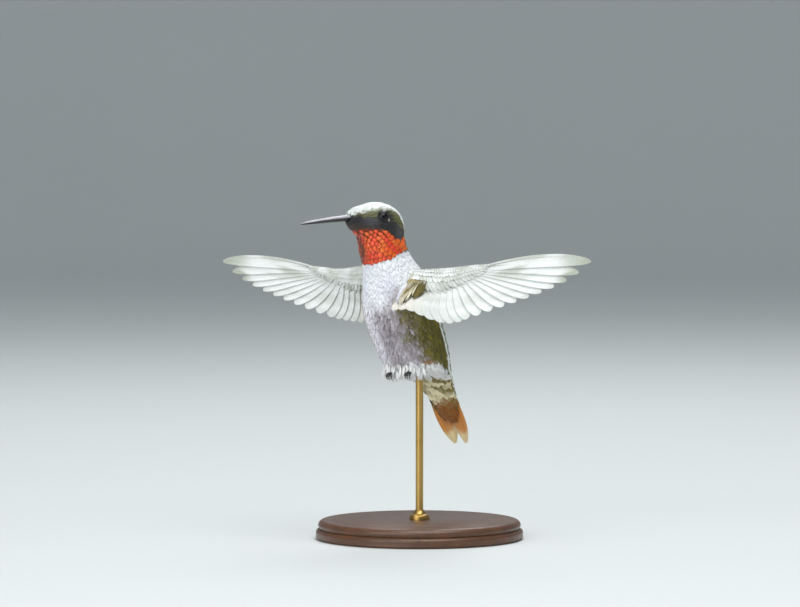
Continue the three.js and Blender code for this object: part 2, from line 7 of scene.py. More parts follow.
# %% The frame
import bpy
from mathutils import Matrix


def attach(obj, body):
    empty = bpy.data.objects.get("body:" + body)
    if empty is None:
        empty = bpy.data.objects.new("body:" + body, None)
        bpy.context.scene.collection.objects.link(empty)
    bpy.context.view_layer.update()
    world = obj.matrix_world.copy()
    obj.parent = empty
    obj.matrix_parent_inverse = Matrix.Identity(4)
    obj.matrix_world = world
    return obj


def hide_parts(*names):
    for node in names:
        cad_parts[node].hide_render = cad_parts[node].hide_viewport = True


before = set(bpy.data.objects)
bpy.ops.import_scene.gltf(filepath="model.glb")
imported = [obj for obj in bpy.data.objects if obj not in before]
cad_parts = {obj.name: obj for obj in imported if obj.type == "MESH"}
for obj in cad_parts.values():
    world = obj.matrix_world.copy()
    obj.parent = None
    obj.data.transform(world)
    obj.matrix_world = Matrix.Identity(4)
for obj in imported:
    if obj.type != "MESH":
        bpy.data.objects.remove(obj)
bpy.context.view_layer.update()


# %% Tools
import math
from functools import partial

import bpy
import numpy as np
from mathutils import Matrix, Vector
from mathutils.bvhtree import BVHTree

MM = 0.001  # the maths is in millimetres and the meshes are in metres
rng = np.random.default_rng(11)


def placed(name, data):
    """A new object in the scene, with a mesh, a lamp or a camera in it."""
    thing = bpy.data.objects.new(name, data)
    bpy.context.collection.objects.link(thing)
    return thing


print("Blender", bpy.app.version_string)


# %% [markdown]
# ## Floor, light and camera
# Feathers are soft and pale, so they want a large soft light from above that rolls over every vane, a weaker
# fill, and a rim light from behind that draws the outline of the back. Area lamps do this in Blender: the
# larger the lamp, the softer its shadow. The floor is one plain pale sheet.


# %% Camera
AIM = Vector((-4.42, -2.48, 61.27)) * MM
CAMERA_AZIMUTH = 33  # degrees: the camera stands to the bird's left of its breast
CAMERA_ELEVATION = 3
CAMERA_DISTANCE = 1.2
LENS = 207.9  # mm on a 36 mm sensor


def direction(azimuth, elevation):
    """The unit vector from the middle of the scene towards a place round it; azimuth 0 is in front of -Y."""
    a, e = math.radians(azimuth), math.radians(elevation)
    return Vector((math.sin(a) * math.cos(e), -math.cos(a) * math.cos(e), math.sin(e)))


def look_along(thing, towards):
    thing.rotation_euler = towards.to_track_quat("-Z", "Y").to_euler()


camera_data = bpy.data.cameras.new("camera")
camera_data.lens = LENS
camera_data.sensor_width = 36
camera_data.clip_end = 50
camera = placed("camera", camera_data)
back = direction(CAMERA_AZIMUTH, CAMERA_ELEVATION)
camera.location = AIM + CAMERA_DISTANCE * back
look_along(camera, -back)
bpy.context.scene.camera = camera
print("camera height above the floor, mm:", round(camera.location.z / MM))


# %% Lamps and surroundings
LAMPS = {
    "key": {"azimuth": 50, "elevation": 60, "distance": 0.75, "size": 0.75, "watts": 4.8},
    "front": {"azimuth": -2, "elevation": 14, "distance": 1.0, "size": 1.0, "watts": 5.6},
    "rim": {"azimuth": 205, "elevation": 50, "distance": 0.8, "size": 0.5, "watts": 2.6},
}
SKY_COLOUR, SKY_STRENGTH = (0.80, 0.84, 0.88, 1), 0.72
for name, lamp in LAMPS.items():
    data = bpy.data.lights.new("lamp_" + name, "AREA")
    data.shape = "DISK"
    data.size = lamp["size"]
    data.energy = lamp["watts"]
    thing = placed("lamp_" + name, data)
    towards = direction(lamp["azimuth"], lamp["elevation"])
    thing.location = AIM + lamp["distance"] * towards
    look_along(thing, -towards)

world = bpy.data.worlds.new("studio")
world.use_nodes = True
sky = world.node_tree.nodes["Background"].inputs
sky["Color"].default_value = SKY_COLOUR
sky["Strength"].default_value = SKY_STRENGTH
bpy.context.scene.world = world
bpy.context.scene.view_settings.view_transform = "Standard"
print(len(LAMPS), "lamps")


# %% [markdown]
# ## Shared ways of making things
# Most forms here are closed and taper along a line: a bill, a toe, a feather vane. Each of them can start as
# one UV sphere. Its rings become stations along the form and its two poles become the ends, so the surface is
# closed from the start, and only a rule for where each ring goes is needed.


# %% Small numbers and colours
def mix(a, b, share):
    return a + (b - a) * share


def smoothstep(value, low, high):
    share = np.clip((value - low) / (high - low), 0, 1)
    return share * share * (3 - 2 * share)


def tint(a, b, shares):
    """Colour a with colour b over it, by a share for each point that is held between 0 and 1."""
    return mix(a, b, np.clip(shares, 0, 1)[:, None])


def unit(vectors):
    return vectors / np.maximum(np.linalg.norm(vectors, axis=-1, keepdims=True), 1e-9)


def curve(a, b, c, t):
    """A bowed line from a to c that leans towards b, at shares t of it (a quadratic Bezier curve)."""
    return (1 - t) ** 2 * a + 2 * t * (1 - t) * b + t**2 * c


def curve_heading(a, b, c, t):
    return unit(2 * (1 - t) * (b - a) + 2 * t * (c - b))


def paint(code):
    """A linear colour from the six-digit code of a screen colour."""
    screen = np.array([int(code[i:i + 2], 16) for i in (0, 2, 4)]) / 255
    return np.where(screen <= 0.04045, screen / 12.92, ((screen + 0.055) / 1.055) ** 2.4)


def apply_matrix(matrix, points):
    m = np.array(matrix)
    return points @ m[:3, :3].T + m[:3, 3]


def through(stations, shares):
    """A smooth line through rows of numbers, read at shares from 0 to 1 (a Catmull-Rom curve)."""
    rows = np.array(stations, float)
    rows = np.vstack([2 * rows[0] - rows[1], rows, 2 * rows[-1] - rows[-2]])
    place = np.asarray(shares, float) * (len(stations) - 1)
    i = np.clip(place.astype(int), 0, len(stations) - 2)
    f = (place - i)[..., None]
    a, b, c, d = rows[i], rows[i + 1], rows[i + 2], rows[i + 3]
    return 0.5 * (2 * b + (c - a) * f + (2 * a - 5 * b + 4 * c - d) * f**2 + (3 * b - a - 3 * c + d) * f**3)


print("black is", paint("000000"), "and white is", paint("ffffff"))


# %% A closed form from a sphere
def clear_selection():
    if bpy.context.object and bpy.context.object.mode != "OBJECT":
        bpy.ops.object.mode_set(mode="OBJECT")
    bpy.ops.object.select_all(action="DESELECT")


def added(name):
    """Names the primitive that an operator has just added."""
    thing = bpy.context.active_object
    thing.name = name
    thing.data.name = name
    return thing


def read_rows(items, key, width=3, kind=float):
    """One row of numbers for each vertex, corner or triangle of a mesh."""
    rows = np.empty(len(items) * width, kind)
    items.foreach_get(key, rows)
    return rows.reshape(-1, width)


def vertex_places(thing):
    return read_rows(thing.data.vertices, "co")


def set_vertex_places(thing, places):
    thing.data.vertices.foreach_set("co", np.ascontiguousarray(places, dtype=float).ravel())
    thing.data.update()


def ball(name, segments, rings):
    """A unit UV sphere. Returns it with each vertex's share of the way from pole to pole, and its angle."""
    clear_selection()
    bpy.ops.mesh.primitive_uv_sphere_add(segments=segments, ring_count=rings, radius=1)
    thing = added(name)
    places = vertex_places(thing)
    share = np.arccos(np.clip(-places[:, 2], -1, 1)) / math.pi
    angle = np.arctan2(places[:, 1], places[:, 0])
    return thing, share, angle


def only(thing):
    """Selects one object and makes it the active one."""
    clear_selection()
    thing.select_set(True)
    bpy.context.view_layer.objects.active = thing


def edit_all(thing, *operators):
    """Runs mesh operators, each with its settings, on everything in a mesh."""
    only(thing)
    bpy.ops.object.mode_set(mode="EDIT")
    for operator, settings in operators:
        bpy.ops.mesh.select_all(action="SELECT")
        operator(**settings)
    bpy.ops.object.mode_set(mode="OBJECT")


def outwards(thing):
    """Turns every face of a closed mesh outwards."""
    edit_all(thing, (bpy.ops.mesh.normals_make_consistent, {"inside": False}))


def smooth(thing, degrees=180):
    only(thing)
    bpy.ops.object.shade_smooth_by_angle(angle=math.radians(degrees))


def joined(name, things):
    clear_selection()
    for thing in things:
        thing.select_set(True)
    bpy.context.view_layer.objects.active = things[0]
    bpy.ops.object.join()
    return added(name)


def finish_piece(piece, material, nodes=()):
    """Gives a piece its material, hangs it on the model's one body and hides the solids it stands for."""
    piece.data.materials.clear()
    piece.data.materials.append(material)
    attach(piece, "root")
    if nodes:
        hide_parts(*nodes)
    print(piece.name, len(piece.data.polygons), "faces")


# %% [markdown]
# ## Places on the bird
# The trunk hangs from the vent and leans a little to the right, and the head is turned to the right on top of
# it. Each has a frame of its own, so that a marking can be told in the bird's own terms: a share of the way
# down the body and an angle round it from the middle of the breast, or a place on the head.


# %% Frames
VENT_HEIGHT = 41.7
BODY_FRAME = Matrix.Translation((0, 0, VENT_HEIGHT)) @ Matrix.Rotation(math.radians(-4), 4, "Y")
HEAD_CENTRE = BODY_FRAME @ Vector((0, -16.7, 41))
HEAD_FRAME = Matrix.Translation(HEAD_CENTRE) @ Matrix.Rotation(math.radians(-22), 4, "Z")
TAIL_FRAME = BODY_FRAME @ Matrix.Translation((0, 7.6, -0.4)) @ Matrix.Rotation(math.radians(31), 4, "X")


def in_head(points):
    """Points of the scene told in the head's frame."""
    return apply_matrix(HEAD_FRAME.inverted(), points)


def in_body(points):
    return apply_matrix(BODY_FRAME.inverted(), points)


print("middle of the head, mm:", [round(v, 1) for v in HEAD_CENTRE])


# %% Sections of the trunk
# The front point and the back point (y, z) of each section, half its width, and its turn with the head.
SECTIONS = [
    (-21.2, 38.5, -9.6, 41.5, 5.2, 22),  # 0, inside the head
    (-20.4, 34.5, -8.1, 37.6, 5.7, 21),  # 1, throat
    (-18.9, 29.3, -5.9, 33.2, 6.1, 15),  # 2, collar
    (-18.4, 24.0, -1.6, 28.6, 7.9, 5),  # 3, shoulders
    (-18.1, 18.5, 1.2, 24.0, 9.0, 0),  # 4, breast
    (-16.1, 13.2, 3.3, 18.3, 9.3, 0),  # 5, keel
    (-13.2, 8.2, 5.5, 12.8, 9.2, 0),  # 6, belly
    (-10.3, 4.3, 7.3, 7.4, 8.8, 0),  # 7, flank
    (-7.2, 1.4, 8.9, 2.6, 7.8, 0),  # 8, vent
    (0.2, 0.7, 10.7, -1.3, 6.0, 0),  # 9, rump
    (6.2, -2.8, 12.4, -4.9, 4.7, 0),  # 10, tail coverts
    (10.5, -8.3, 14.6, -8.6, 3.8, 0),  # 11, tips of the coverts
    (13.4, -11.8, 15.4, -11.0, 2.4, 0),  # 12, end
]
LAST = len(SECTIONS) - 1


def section_frames(places):
    """Middle, sideways axis, back axis, half width and half depth of the sections at places from 0 to 12."""
    rows = through(SECTIONS, np.asarray(places, float) / LAST)
    front = np.stack([0 * rows[..., 0], rows[..., 0], rows[..., 1]], -1)
    rear = np.stack([0 * rows[..., 0], rows[..., 2], rows[..., 3]], -1)
    turn = np.radians(-rows[..., 5])
    spin = np.stack([np.cos(turn), np.sin(turn), 0 * turn], -1)
    half = rear - front
    depth = np.linalg.norm(half, axis=-1) / 2
    level = half[..., 1] / 2
    along = np.stack([-level * np.sin(turn), level * np.cos(turn), half[..., 2] / 2], -1)
    return (front + rear) / 2, spin, along / depth[..., None], rows[..., 4], depth


STEPS = np.linspace(-0.6, LAST, 190)
MIDDLE, SIDEWAYS, BACKWARDS, HALF, DEPTH = section_frames(STEPS)
ACROSS_SPINE = np.cross(SIDEWAYS, BACKWARDS)
SPINE = unit(np.gradient(MIDDLE, axis=0))


def on_trunk(points):
    """Place along the trunk (0 to 12), degrees round it from the breast (left is positive), and step."""
    local = in_body(points)
    offset = local[:, None, :] - MIDDLE[None]
    off_plane = np.abs(np.einsum("pij,ij->pi", offset, ACROSS_SPINE))
    off_plane += 0.12 * np.linalg.norm(offset, axis=-1)
    step = off_plane.argmin(1)
    offset = local - MIDDLE[step]
    side = np.einsum("pj,pj->p", offset, SIDEWAYS[step]) / HALF[step]
    rear = np.einsum("pj,pj->p", offset, BACKWARDS[step]) / DEPTH[step]
    return STEPS[step], np.degrees(np.arctan2(side, -rear)), step


def ray_round(at, turn):
    """A point well outside the trunk and the direction inwards, at a place and at degrees from the breast."""
    middle, across, rear, half, depth = (part[0] for part in section_frames([max(at, -0.5)]))
    angle = math.radians(turn)
    out = across * math.sin(angle) * half - rear * math.cos(angle) * depth
    start = BODY_FRAME @ Vector(middle + 2.2 * out)
    return start, ((BODY_FRAME @ Vector(middle)) - start).normalized()


print("middle of the breast, mm:", MIDDLE[np.abs(STEPS - 4).argmin()].round(1))


# %% [markdown]
# ## The skin
# Under its feathers the bird is one unbroken skin. The solids of the flesh are copied, swollen until they
# touch, melted into one surface with a voxel remesh and smoothed. Then the surface is drawn in by the depth of
# the coat, so that the feathers end where the solids do.


# %% One skin
SWELL = 0.25
VOXEL = 0.38
COAT_DEPTH = 0.45  # on the body
FACE_DEPTH = 0.28
WING_DEPTH = 0.12
BILL_WEAR = 0.42  # how far smoothing wears the skin down round the bill
FLESH = ["head", "neck", "breast", "belly", "rump"]
ARMS = ["wing_left_arm", "wing_right_arm"]
LEGS = ["leg_left", "leg_right"]
PLUGS = ["eye_left", "eye_right"]  # the skin runs on under the eyes


def copy_of(node):
    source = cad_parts[node]
    copy = placed("copy_" + node, source.data.copy())
    copy.matrix_world = source.matrix_world
    return copy


def plug(start, end, radius):
    """A short bar that fills a hollow of the solids."""
    clear_selection()
    start, end = Vector(start), Vector(end)
    bpy.ops.mesh.primitive_cylinder_add(vertices=16, radius=radius * MM, depth=(end - start).length * MM)
    bar = added("plug")
    turn = (end - start).to_track_quat("Z", "Y").to_matrix().to_4x4()
    bar.data.transform(Matrix.Translation((start + end) / 2 * MM) @ turn)
    return bar


parts = [copy_of(node) for node in FLESH + ARMS + LEGS + PLUGS]
parts.append(plug((0, 0, 42.4), (0, 0, 47.2), 1.2))  # over the rod
socket_ends = HEAD_FRAME @ Vector((0, -7.6, 1.5)), HEAD_FRAME @ Vector((0, -4.0, 1.7))
parts.append(plug(*socket_ends, 1.05))  # in the socket of the bill
skin = joined("skin", parts)
edit_all(skin, (bpy.ops.mesh.remove_doubles, {"threshold": 1e-6}))


def modify(thing, kind, **settings):
    only(thing)
    modifier = thing.modifiers.new(kind.lower(), kind)
    for key, value in settings.items():
        setattr(modifier, key, value)
    bpy.ops.object.modifier_apply(modifier=modifier.name)


modify(skin, "DISPLACE", strength=SWELL * MM, mid_level=0)
modify(skin, "REMESH", mode="VOXEL", voxel_size=VOXEL * MM)
modify(skin, "SMOOTH", factor=0.5, iterations=9)
print("skin", len(skin.data.vertices), "points")


# %% The skin is drawn in by the coat's depth
def over_wing(points):
    """From 0 on the trunk to 1 out along the arm of a wing."""
    local = in_body(points)
    return smoothstep(np.abs(local[:, 0]), 9.4, 11.5) * (local[:, 2] > 18)


def head_share(points):
    """1 on the head and 0 below the throat."""
    return smoothstep(in_head(points)[:, 2], -6.5, -3.0)


def near_bill(points):
    """From 0 at the eyes to 1 round the base of the bill, where smoothing has worn the skin down."""
    local = in_head(points)
    return smoothstep(-local[:, 1], 4.2, 7.2) * head_share(points)


points = vertex_places(skin) / MM
depth = mix(COAT_DEPTH, FACE_DEPTH, head_share(points)) - BILL_WEAR * near_bill(points)
depth = mix(depth, WING_DEPTH, over_wing(points))
places = points - read_rows(skin.data.vertices, "normal") * (SWELL + depth)[:, None]
set_vertex_places(skin, places * MM)
modify(skin, "SMOOTH", factor=0.5, iterations=4)
smooth(skin)
skin_points = vertex_places(skin) / MM
skin.data.calc_loop_triangles()
corners = read_rows(skin.data.loop_triangles, "vertices", 3, int)
skin_tree = BVHTree.FromPolygons(skin_points.tolist(), corners.tolist())
print("skin box, mm:", skin_points.min(0).round(1), skin_points.max(0).round(1))


# %% [markdown]
# ## Markings
# Skin and feathers wear the same colours, so both ask one function for them. It knows the bird's regions by
# name: the crown, painted silvery white as the highlight that strong light lays on its green feathers, the dark
# mask, the fiery throat or gorget, the white breast, the lilac belly with its olive flanks, the white tufts of
# the vent, the cream coverts under the tail and the bronze green back. A little smooth noise moves the borders,
# because no row of feathers ends in a straight line.


# %% Smooth noise
def ripple(points, size, seed):
    """Smooth noise from about -1 to 1 whose patches are about size across: a sum of seeded waves."""
    waves = np.random.default_rng(seed)
    total = np.zeros(len(points))
    for _ in range(7):
        heading = unit(waves.normal(size=3))
        pace = 2 * math.pi / size * waves.uniform(0.35, 0.75)
        total += np.sin(points @ heading * pace + waves.uniform(0, 2 * math.pi))
    return total / 3.2


noise = ripple(skin_points, 2, 1)
print("noise runs from", noise.min().round(2), "to", noise.max().round(2))


# %% Colours of the plumage
CROWN_SHEEN_SILVER, CROWN_OLIVE, OLIVE, SPOT_WHITE = map(paint, ("f0f6f3", "55592a", "4c4b1c", "c3b8a4"))
MASK_DARK, MASK_GREY, CHIN_BROWN = map(paint, ("1d1c1f", "47474c", "43332a"))
GORGET_RED, GORGET_ORANGE, GORGET_PINK = map(paint, ("f0440e", "ff741f", "ff4a26"))
GORGET_GAP_SHADE, GORGET_AWAY_SHADE = map(paint, ("3a0d03", "6a300c"))
BREAST_WHITE, BREAST_SHADE_LAVENDER, VENT_WHITE, LINE_RIM_WHITE = map(paint, ("f7faff", "e9ebf9", "fbfbfa", "f3f5f2"))
BELLY_LILAC, BELLY_DUSK, BELLY_STREAK = map(paint, ("a0929a", "665656", "f1edf6"))
FLANK_OLIVE, FLANK_BRONZE, TINGE = map(paint, ("605a10", "85781a", "cf9a66"))
COVERT_CREAM, COVERT_OLIVE, COVERT_RUST = map(paint, ("f2e8c2", "766818", "94560e"))
BACK_GREEN, BACK_BRONZE = map(paint, ("3f5426", "6e7440"))
print("gorget in linear light:", GORGET_RED.round(2))


# %% Regions
LINE_TURN = 108  # degrees round the trunk at which the flank ends and the back begins


def crown_edge(y):
    """Height of the lower edge of the crown on the head, which is painted silvery as a highlight, at a distance
    y behind its middle.
    """
    return 3.7 - 0.028 * (y + 0.5) ** 2 - 0.55 * smoothstep(y, 1.5, 5.5) * (y - 1.5).clip(0)


def mask_edge(y):
    """Height of the upper edge of the dark mask: over the lores, under the eye, and down behind the ear."""
    return mix(1.9, 0.55, smoothstep(y, -4.2, -1.6)) - 0.42 * (y - 2.2).clip(0)


def gorget_top(y):
    return mix(-1.5, -3.4, smoothstep(y, -2.6, 3.4))


def gorget_foot(turn):
    """How far down the trunk the gorget reaches at an angle round it: lowest in front, higher at the sides."""
    return 1.58 - 0.16 * smoothstep(np.abs(turn), 60, 110) - 0.14 * smoothstep(-turn, 5, 30)


def regions(points):
    """How far each point belongs to each region of the plumage, from 0 to 1."""
    place, turn, _ = on_trunk(points)
    head = in_head(points)
    x, y, z = head.T
    side = np.abs(turn)
    wander = ripple(points, 2.6, 3)
    fine = ripple(points, 0.9, 4)
    edge = 0.25 * fine + 0.15 * wander
    on_head = smoothstep(z + edge, -6.6, -5.6)
    eye_side = np.hypot((y + 0.95) / 1.2, z - 1.55)
    found = {}
    nape = smoothstep(y, 2, 6)
    found["head"] = smoothstep(z, mix(-4.2, -6.6, nape), mix(-3.6, -6.0, nape))
    found["crown"] = smoothstep(z + 0.6 * edge - crown_edge(y), -0.35, 0.35) * on_head
    above_gorget = smoothstep(z + edge - gorget_top(y), -0.12, 0.12)
    below_line = 1 - smoothstep(z + edge - mask_edge(y), -0.25, 0.25)
    before_nape = 1 - smoothstep(y + edge, 6.1, 6.7)
    by_eye = (1 - smoothstep(eye_side + edge, 1.75, 2.25)) * (np.abs(x) > 3)
    found["mask"] = np.maximum(below_line * above_gorget * before_nape, by_eye)
    found["chin"] = found["mask"] * (1 - smoothstep(z + edge, -0.5, 0.4)) * (1 - smoothstep(y, -4.6, -2.8))
    low_edge = gorget_foot(turn) + 0.03 * fine
    found["gorget"] = (1 - above_gorget) * (place < low_edge) * (side < 134 + 3 * wander)
    back_edge = mix(150, LINE_TURN + 2, smoothstep(place, 2.2, 4.2)) + 2 * wander
    at_end = (place > 11.4) & (side < 112)
    found["under"] = np.maximum(1 - smoothstep(side, back_edge - 4, back_edge + 4), at_end)
    found["belly"] = smoothstep(place + 0.35 * wander, 2.7, 4.2)
    flank_edge = 37 + 22 * smoothstep(place, 5.4, 6.9) + 18 * smoothstep(-turn, 0, 20)
    flank_edge = flank_edge + 7 * wander + 9 * fine
    reach = smoothstep(place + 0.2 * wander, 3.0, 3.7) * (1 - smoothstep(place + 0.15 * fine, 7.4, 7.9))
    found["flank"] = smoothstep(side, flank_edge - 11, flank_edge + 12) * reach
    off_streak = np.abs(turn + 29 + 4 * wander)
    found["streak"] = (1 - smoothstep(off_streak, 8, 26)) * smoothstep(place, 2.6, 3.4)
    rise = mix(mix(6.85, 7.0, smoothstep(side, 45, 60)), 8.0, smoothstep(side, 80, 96))
    from_rise = smoothstep(place + 0.12 * fine, rise - 0.12, rise + 0.12)
    found["vent"] = from_rise * (1 - smoothstep(place, 8.5, 9.0))
    found["undertail"] = smoothstep(place + 0.15 * wander, 8.5, 8.9)
    return found, place, turn, wander, fine


print("regions:", ", ".join(regions(skin_points[:50])[0]))


# %% Markings
def overlaid(below, amount, ground, fringe):
    """A pair of colours, ground and fringe, with another pair laid over it by an amount from 0 to 1."""
    return tint(below[0], ground, amount), tint(below[1], fringe, amount)


def markings(points):
    """The ground colour of the plumage at each point, and the colour of a feather's fringe there."""
    found, place, turn, wander, _ = regions(points)
    side = np.abs(turn)
    patch = ripple(points, 1.5, 5)
    speck = ripple(points, 0.55, 6)

    # Painted shade: the white breast is tinted lavender, more towards its middle, for the bluish shade in which
    # it lies.
    breast = tint(BREAST_WHITE, BREAST_SHADE_LAVENDER, 0.35 + 0.5 * wander - 0.012 * (side - 20))
    belly = tint(BELLY_LILAC, BELLY_DUSK, 0.38 + 0.55 * patch + 0.4 * speck - 0.5 * found["streak"])
    streaked = found["streak"] * (0.8 + 0.5 * speck) + 0.4 * smoothstep(-speck, 0.2, 0.9)
    belly = tint(belly, BELLY_STREAK, streaked)
    under = (tint(breast, belly, found["belly"] * 0.9),
             tint(BREAST_WHITE, mix(belly, BELLY_STREAK, 0.62), found["belly"]))
    flank = tint(FLANK_OLIVE, FLANK_BRONZE, 0.3 + 0.5 * patch)
    pale = 0.62 - (side - 42) / 50 - 0.25 * smoothstep(place, 6.0, 7.0) + 0.45 * speck
    flank_fringe = tint(flank * 1.2, mix(BELLY_LILAC, BELLY_STREAK, 0.35), pale * 0.95)
    under = overlaid(under, found["flank"], flank, flank_fringe)
    rosy = smoothstep(place, 6.5, 7.0) * (1 - found["vent"]) * smoothstep(turn, 40, 52)
    rosy = rosy * (1 - smoothstep(turn, 60, 74))
    under = overlaid(under, 0.7 * rosy, TINGE, TINGE)
    under = overlaid(under, found["vent"], VENT_WHITE, VENT_WHITE)
    blotch = ripple(points, 2.1, 9) + 0.9 * smoothstep(-place, -9.6, -9.1) * smoothstep(turn, 5, 40)
    coverts = tint(COVERT_CREAM, COVERT_OLIVE, 0.35 + 1.6 * blotch)
    ends = smoothstep(place + 0.12 * wander, 10.0, 10.5)
    coverts = tint(coverts, tint(COVERT_RUST, COVERT_OLIVE, 0.1 + 0.3 * patch), ends)
    under = overlaid(under, found["undertail"], coverts, tint(COVERT_CREAM, coverts, 0.75 + 0.2 * ends))

    back = tint(BACK_GREEN, BACK_BRONZE, 0.45 + 0.5 * patch)
    # The back's brighter bronze fringes are partly a painted sheen of the rim light.
    worn = overlaid((back, mix(back, BACK_BRONZE, 0.5) * 1.25), found["under"], *under)
    olive = tint(CROWN_OLIVE, OLIVE, 0.5 + 0.5 * patch)
    worn = overlaid(worn, found["head"], olive, olive * 1.3)
    local = in_head(points)
    over_edge = smoothstep(local[:, 2] - crown_edge(local[:, 1]), 0.1, 1.3)
    # Painted highlight: the crown's near-white silver and its whiter fringes stand for the sheen of strong top
    # light on green feathers.
    crown = tint(CROWN_SHEEN_SILVER, CROWN_OLIVE, 0.3 - 0.3 * over_edge + mix(0.6, 0.04, over_edge) * speck)
    worn = overlaid(worn, found["crown"], crown, mix(crown, CROWN_SHEEN_SILVER * 1.08, 0.75))
    mask = tint(MASK_DARK, MASK_GREY, 0.3 + 0.5 * wander)
    worn = overlaid(worn, found["mask"], mask, mask * 1.6)
    worn = (tint(worn[0], CHIN_BROWN, found["chin"] * (0.75 + 0.5 * speck)),
            tint(worn[1], CHIN_BROWN * 1.5, found["chin"]))
    # Painted reflection and shade: the gorget is more orange where it faces the camera, and dims to dark brick
    # towards its middle and far side, where its glitter turns away.
    fire = tint(GORGET_RED, GORGET_ORANGE, 0.4 + 0.6 * patch + 0.004 * (turn - 25))
    fire = tint(fire, GORGET_PINK, 0.75 * speck)
    fire = tint(fire, GORGET_AWAY_SHADE, smoothstep(-turn, -26, 20) * (0.6 + 0.6 * patch))
    # Painted shade: the scales' dark fringes are partly their own dark bases and partly the shadow lines
    # between them.
    ground, fringe = overlaid(worn, found["gorget"], fire, mix(fire, GORGET_GAP_SHADE, 0.8))
    return ground.clip(0, 1), fringe.clip(0, 1)


def set_colours(thing, name, colours):
    """Stores one linear colour for each vertex."""
    layer = thing.data.color_attributes.new(name=name, type="FLOAT_COLOR", domain="POINT")
    rows = np.ones((len(colours), 4), np.float32)
    rows[:, :3] = colours
    layer.data.foreach_set("color", rows.ravel())


skin_ground, skin_fringe = markings(skin_points)
in_gorget = regions(skin_points)[0]["gorget"][:, None]
# Painted shade: under the gorget the skin is darkened, so the gaps between the scales read as shadow.
skin_ground = mix(skin_ground, GORGET_GAP_SHADE, 0.8 * in_gorget)  # dark gaps between the scales
set_colours(skin, "ground", skin_ground)
set_colours(skin, "fringe", skin_fringe)
print("mean colour of the skin:", skin_ground.mean(0).round(2))


# %% [markdown]
# ## Feathers
# A feather is a thin vane, rooted in the skin, that lies back over the roots of the next ones. A few vanes are
# modelled from flattened balls and thousands of copies are laid in arrays: for each, the skin is asked for its
# surface at the root, halfway and at the tip, so that every vane bends with the body. All copies of a region
# are joined into one mesh, because separate objects would be slow and particles would not be solid.


# %% The lie of the coat
BILL_BASE = np.array([0, -9.2, 1.6])  # in the head's frame


def lie(points, normals, step):
    """The direction in which feathers point: away from the bill over the head, then down the spine."""
    down = unit(SPINE[step] @ np.array(BODY_FRAME)[:3, :3].T)
    local = in_head(points)
    away = unit(local - BILL_BASE)
    fall = smoothstep(local[:, 1], 1.0, 6.5)[:, None]
    away = unit(away + fall * np.array([0, 0.2, -1.6]))
    away = away @ np.array(HEAD_FRAME)[:3, :3].T
    flow = mix(down, away, head_share(points)[:, None])
    flow -= normals * np.einsum("pj,pj->p", flow, normals)[:, None]
    return unit(flow)


def nearest_on_skin(points):
    """The nearest place on the skin to each point, and the skin's direction outwards there."""
    places = np.empty((len(points), 3))
    normals = np.empty((len(points), 3))
    for i, point in enumerate(points):
        place, normal, _, _ = skin_tree.find_nearest(Vector(point))
        places[i] = place
        normals[i] = normal
    return places, normals


head_top = np.array(HEAD_FRAME @ Vector((0, 0, 6)))[None]
print("lie on the crown:", lie(head_top, np.array([[0.0, 0, 1]]), np.array([0])).round(2))


# %% Vanes to copy
def vane(segments, rings):
    """A closed thin vane: how far along (0 to 1), how far across (-1 to 1), which side (up is 1), faces."""
    form, share, angle = ball("vane", segments, rings)
    along = 0.5 - 0.5 * np.cos(share * math.pi)
    girth = np.hypot(*vertex_places(form)[:, :2].T)
    across = np.where(girth > 1e-6, np.cos(angle), 0)
    side = np.where(girth > 1e-6, np.sin(angle), 0)
    faces = [list(face.vertices) for face in form.data.polygons]
    bpy.data.objects.remove(form)
    return {"along": along, "across": across, "side": side, "faces": faces}


def outline(along, full=0.6, root=0.3):
    """Width of a vane: narrow at the root, widest at full, round at the tip."""
    grow = root + (1 - root) * np.sin(np.pi / 2 * np.clip(along / full, 0, 1))
    close = np.sqrt(np.clip(1 - ((along - full) / (1 - full)).clip(0) ** 2, 0, 1))
    return np.where(along < full, grow, close)


def scale_vane(segments=8, rings=7):
    """A neat round vane, as on the throat, crown and back."""
    made = vane(segments, rings)
    made["across"] = made["across"] * outline(made["along"]) * (made["along"] > 1e-6)
    return made


def fringed_vane(barbs=7, segments=3, rings=4, slack=0.3):
    """A soft vane whose barbs part towards its tip."""
    barb = vane(segments, rings)
    count = len(barb["along"])
    made = {"along": [], "across": [], "side": [], "faces": []}
    for k in range(barbs):
        spread = 2 * k / (barbs - 1) - 1
        reach = 0.72 + 0.28 * math.cos(spread * math.pi / 2) - 0.06 * (k % 2)
        start = 0.22 * abs(spread)
        along = start + (reach - start) * barb["along"]
        taper = 1 - 0.55 * barb["along"]
        made["across"].append(spread * 0.92 * along**0.7 + barb["across"] * taper * slack)
        made["along"].append(along)
        made["side"].append(barb["side"] - 0.5 * abs(spread))
        made["faces"] += [[v + k * count for v in face] for face in barb["faces"]]
    for key in ("along", "across", "side"):
        made[key] = np.concatenate(made[key])
    return made


VANES = {
    "down": scale_vane(6, 5),
    "scale": scale_vane(8, 7),
    "shield": scale_vane(10, 9),
    "fringed": fringed_vane(),
    "tuft": fringed_vane(slack=0.24),
}
print({name: len(made["faces"]) for name, made in VANES.items()})


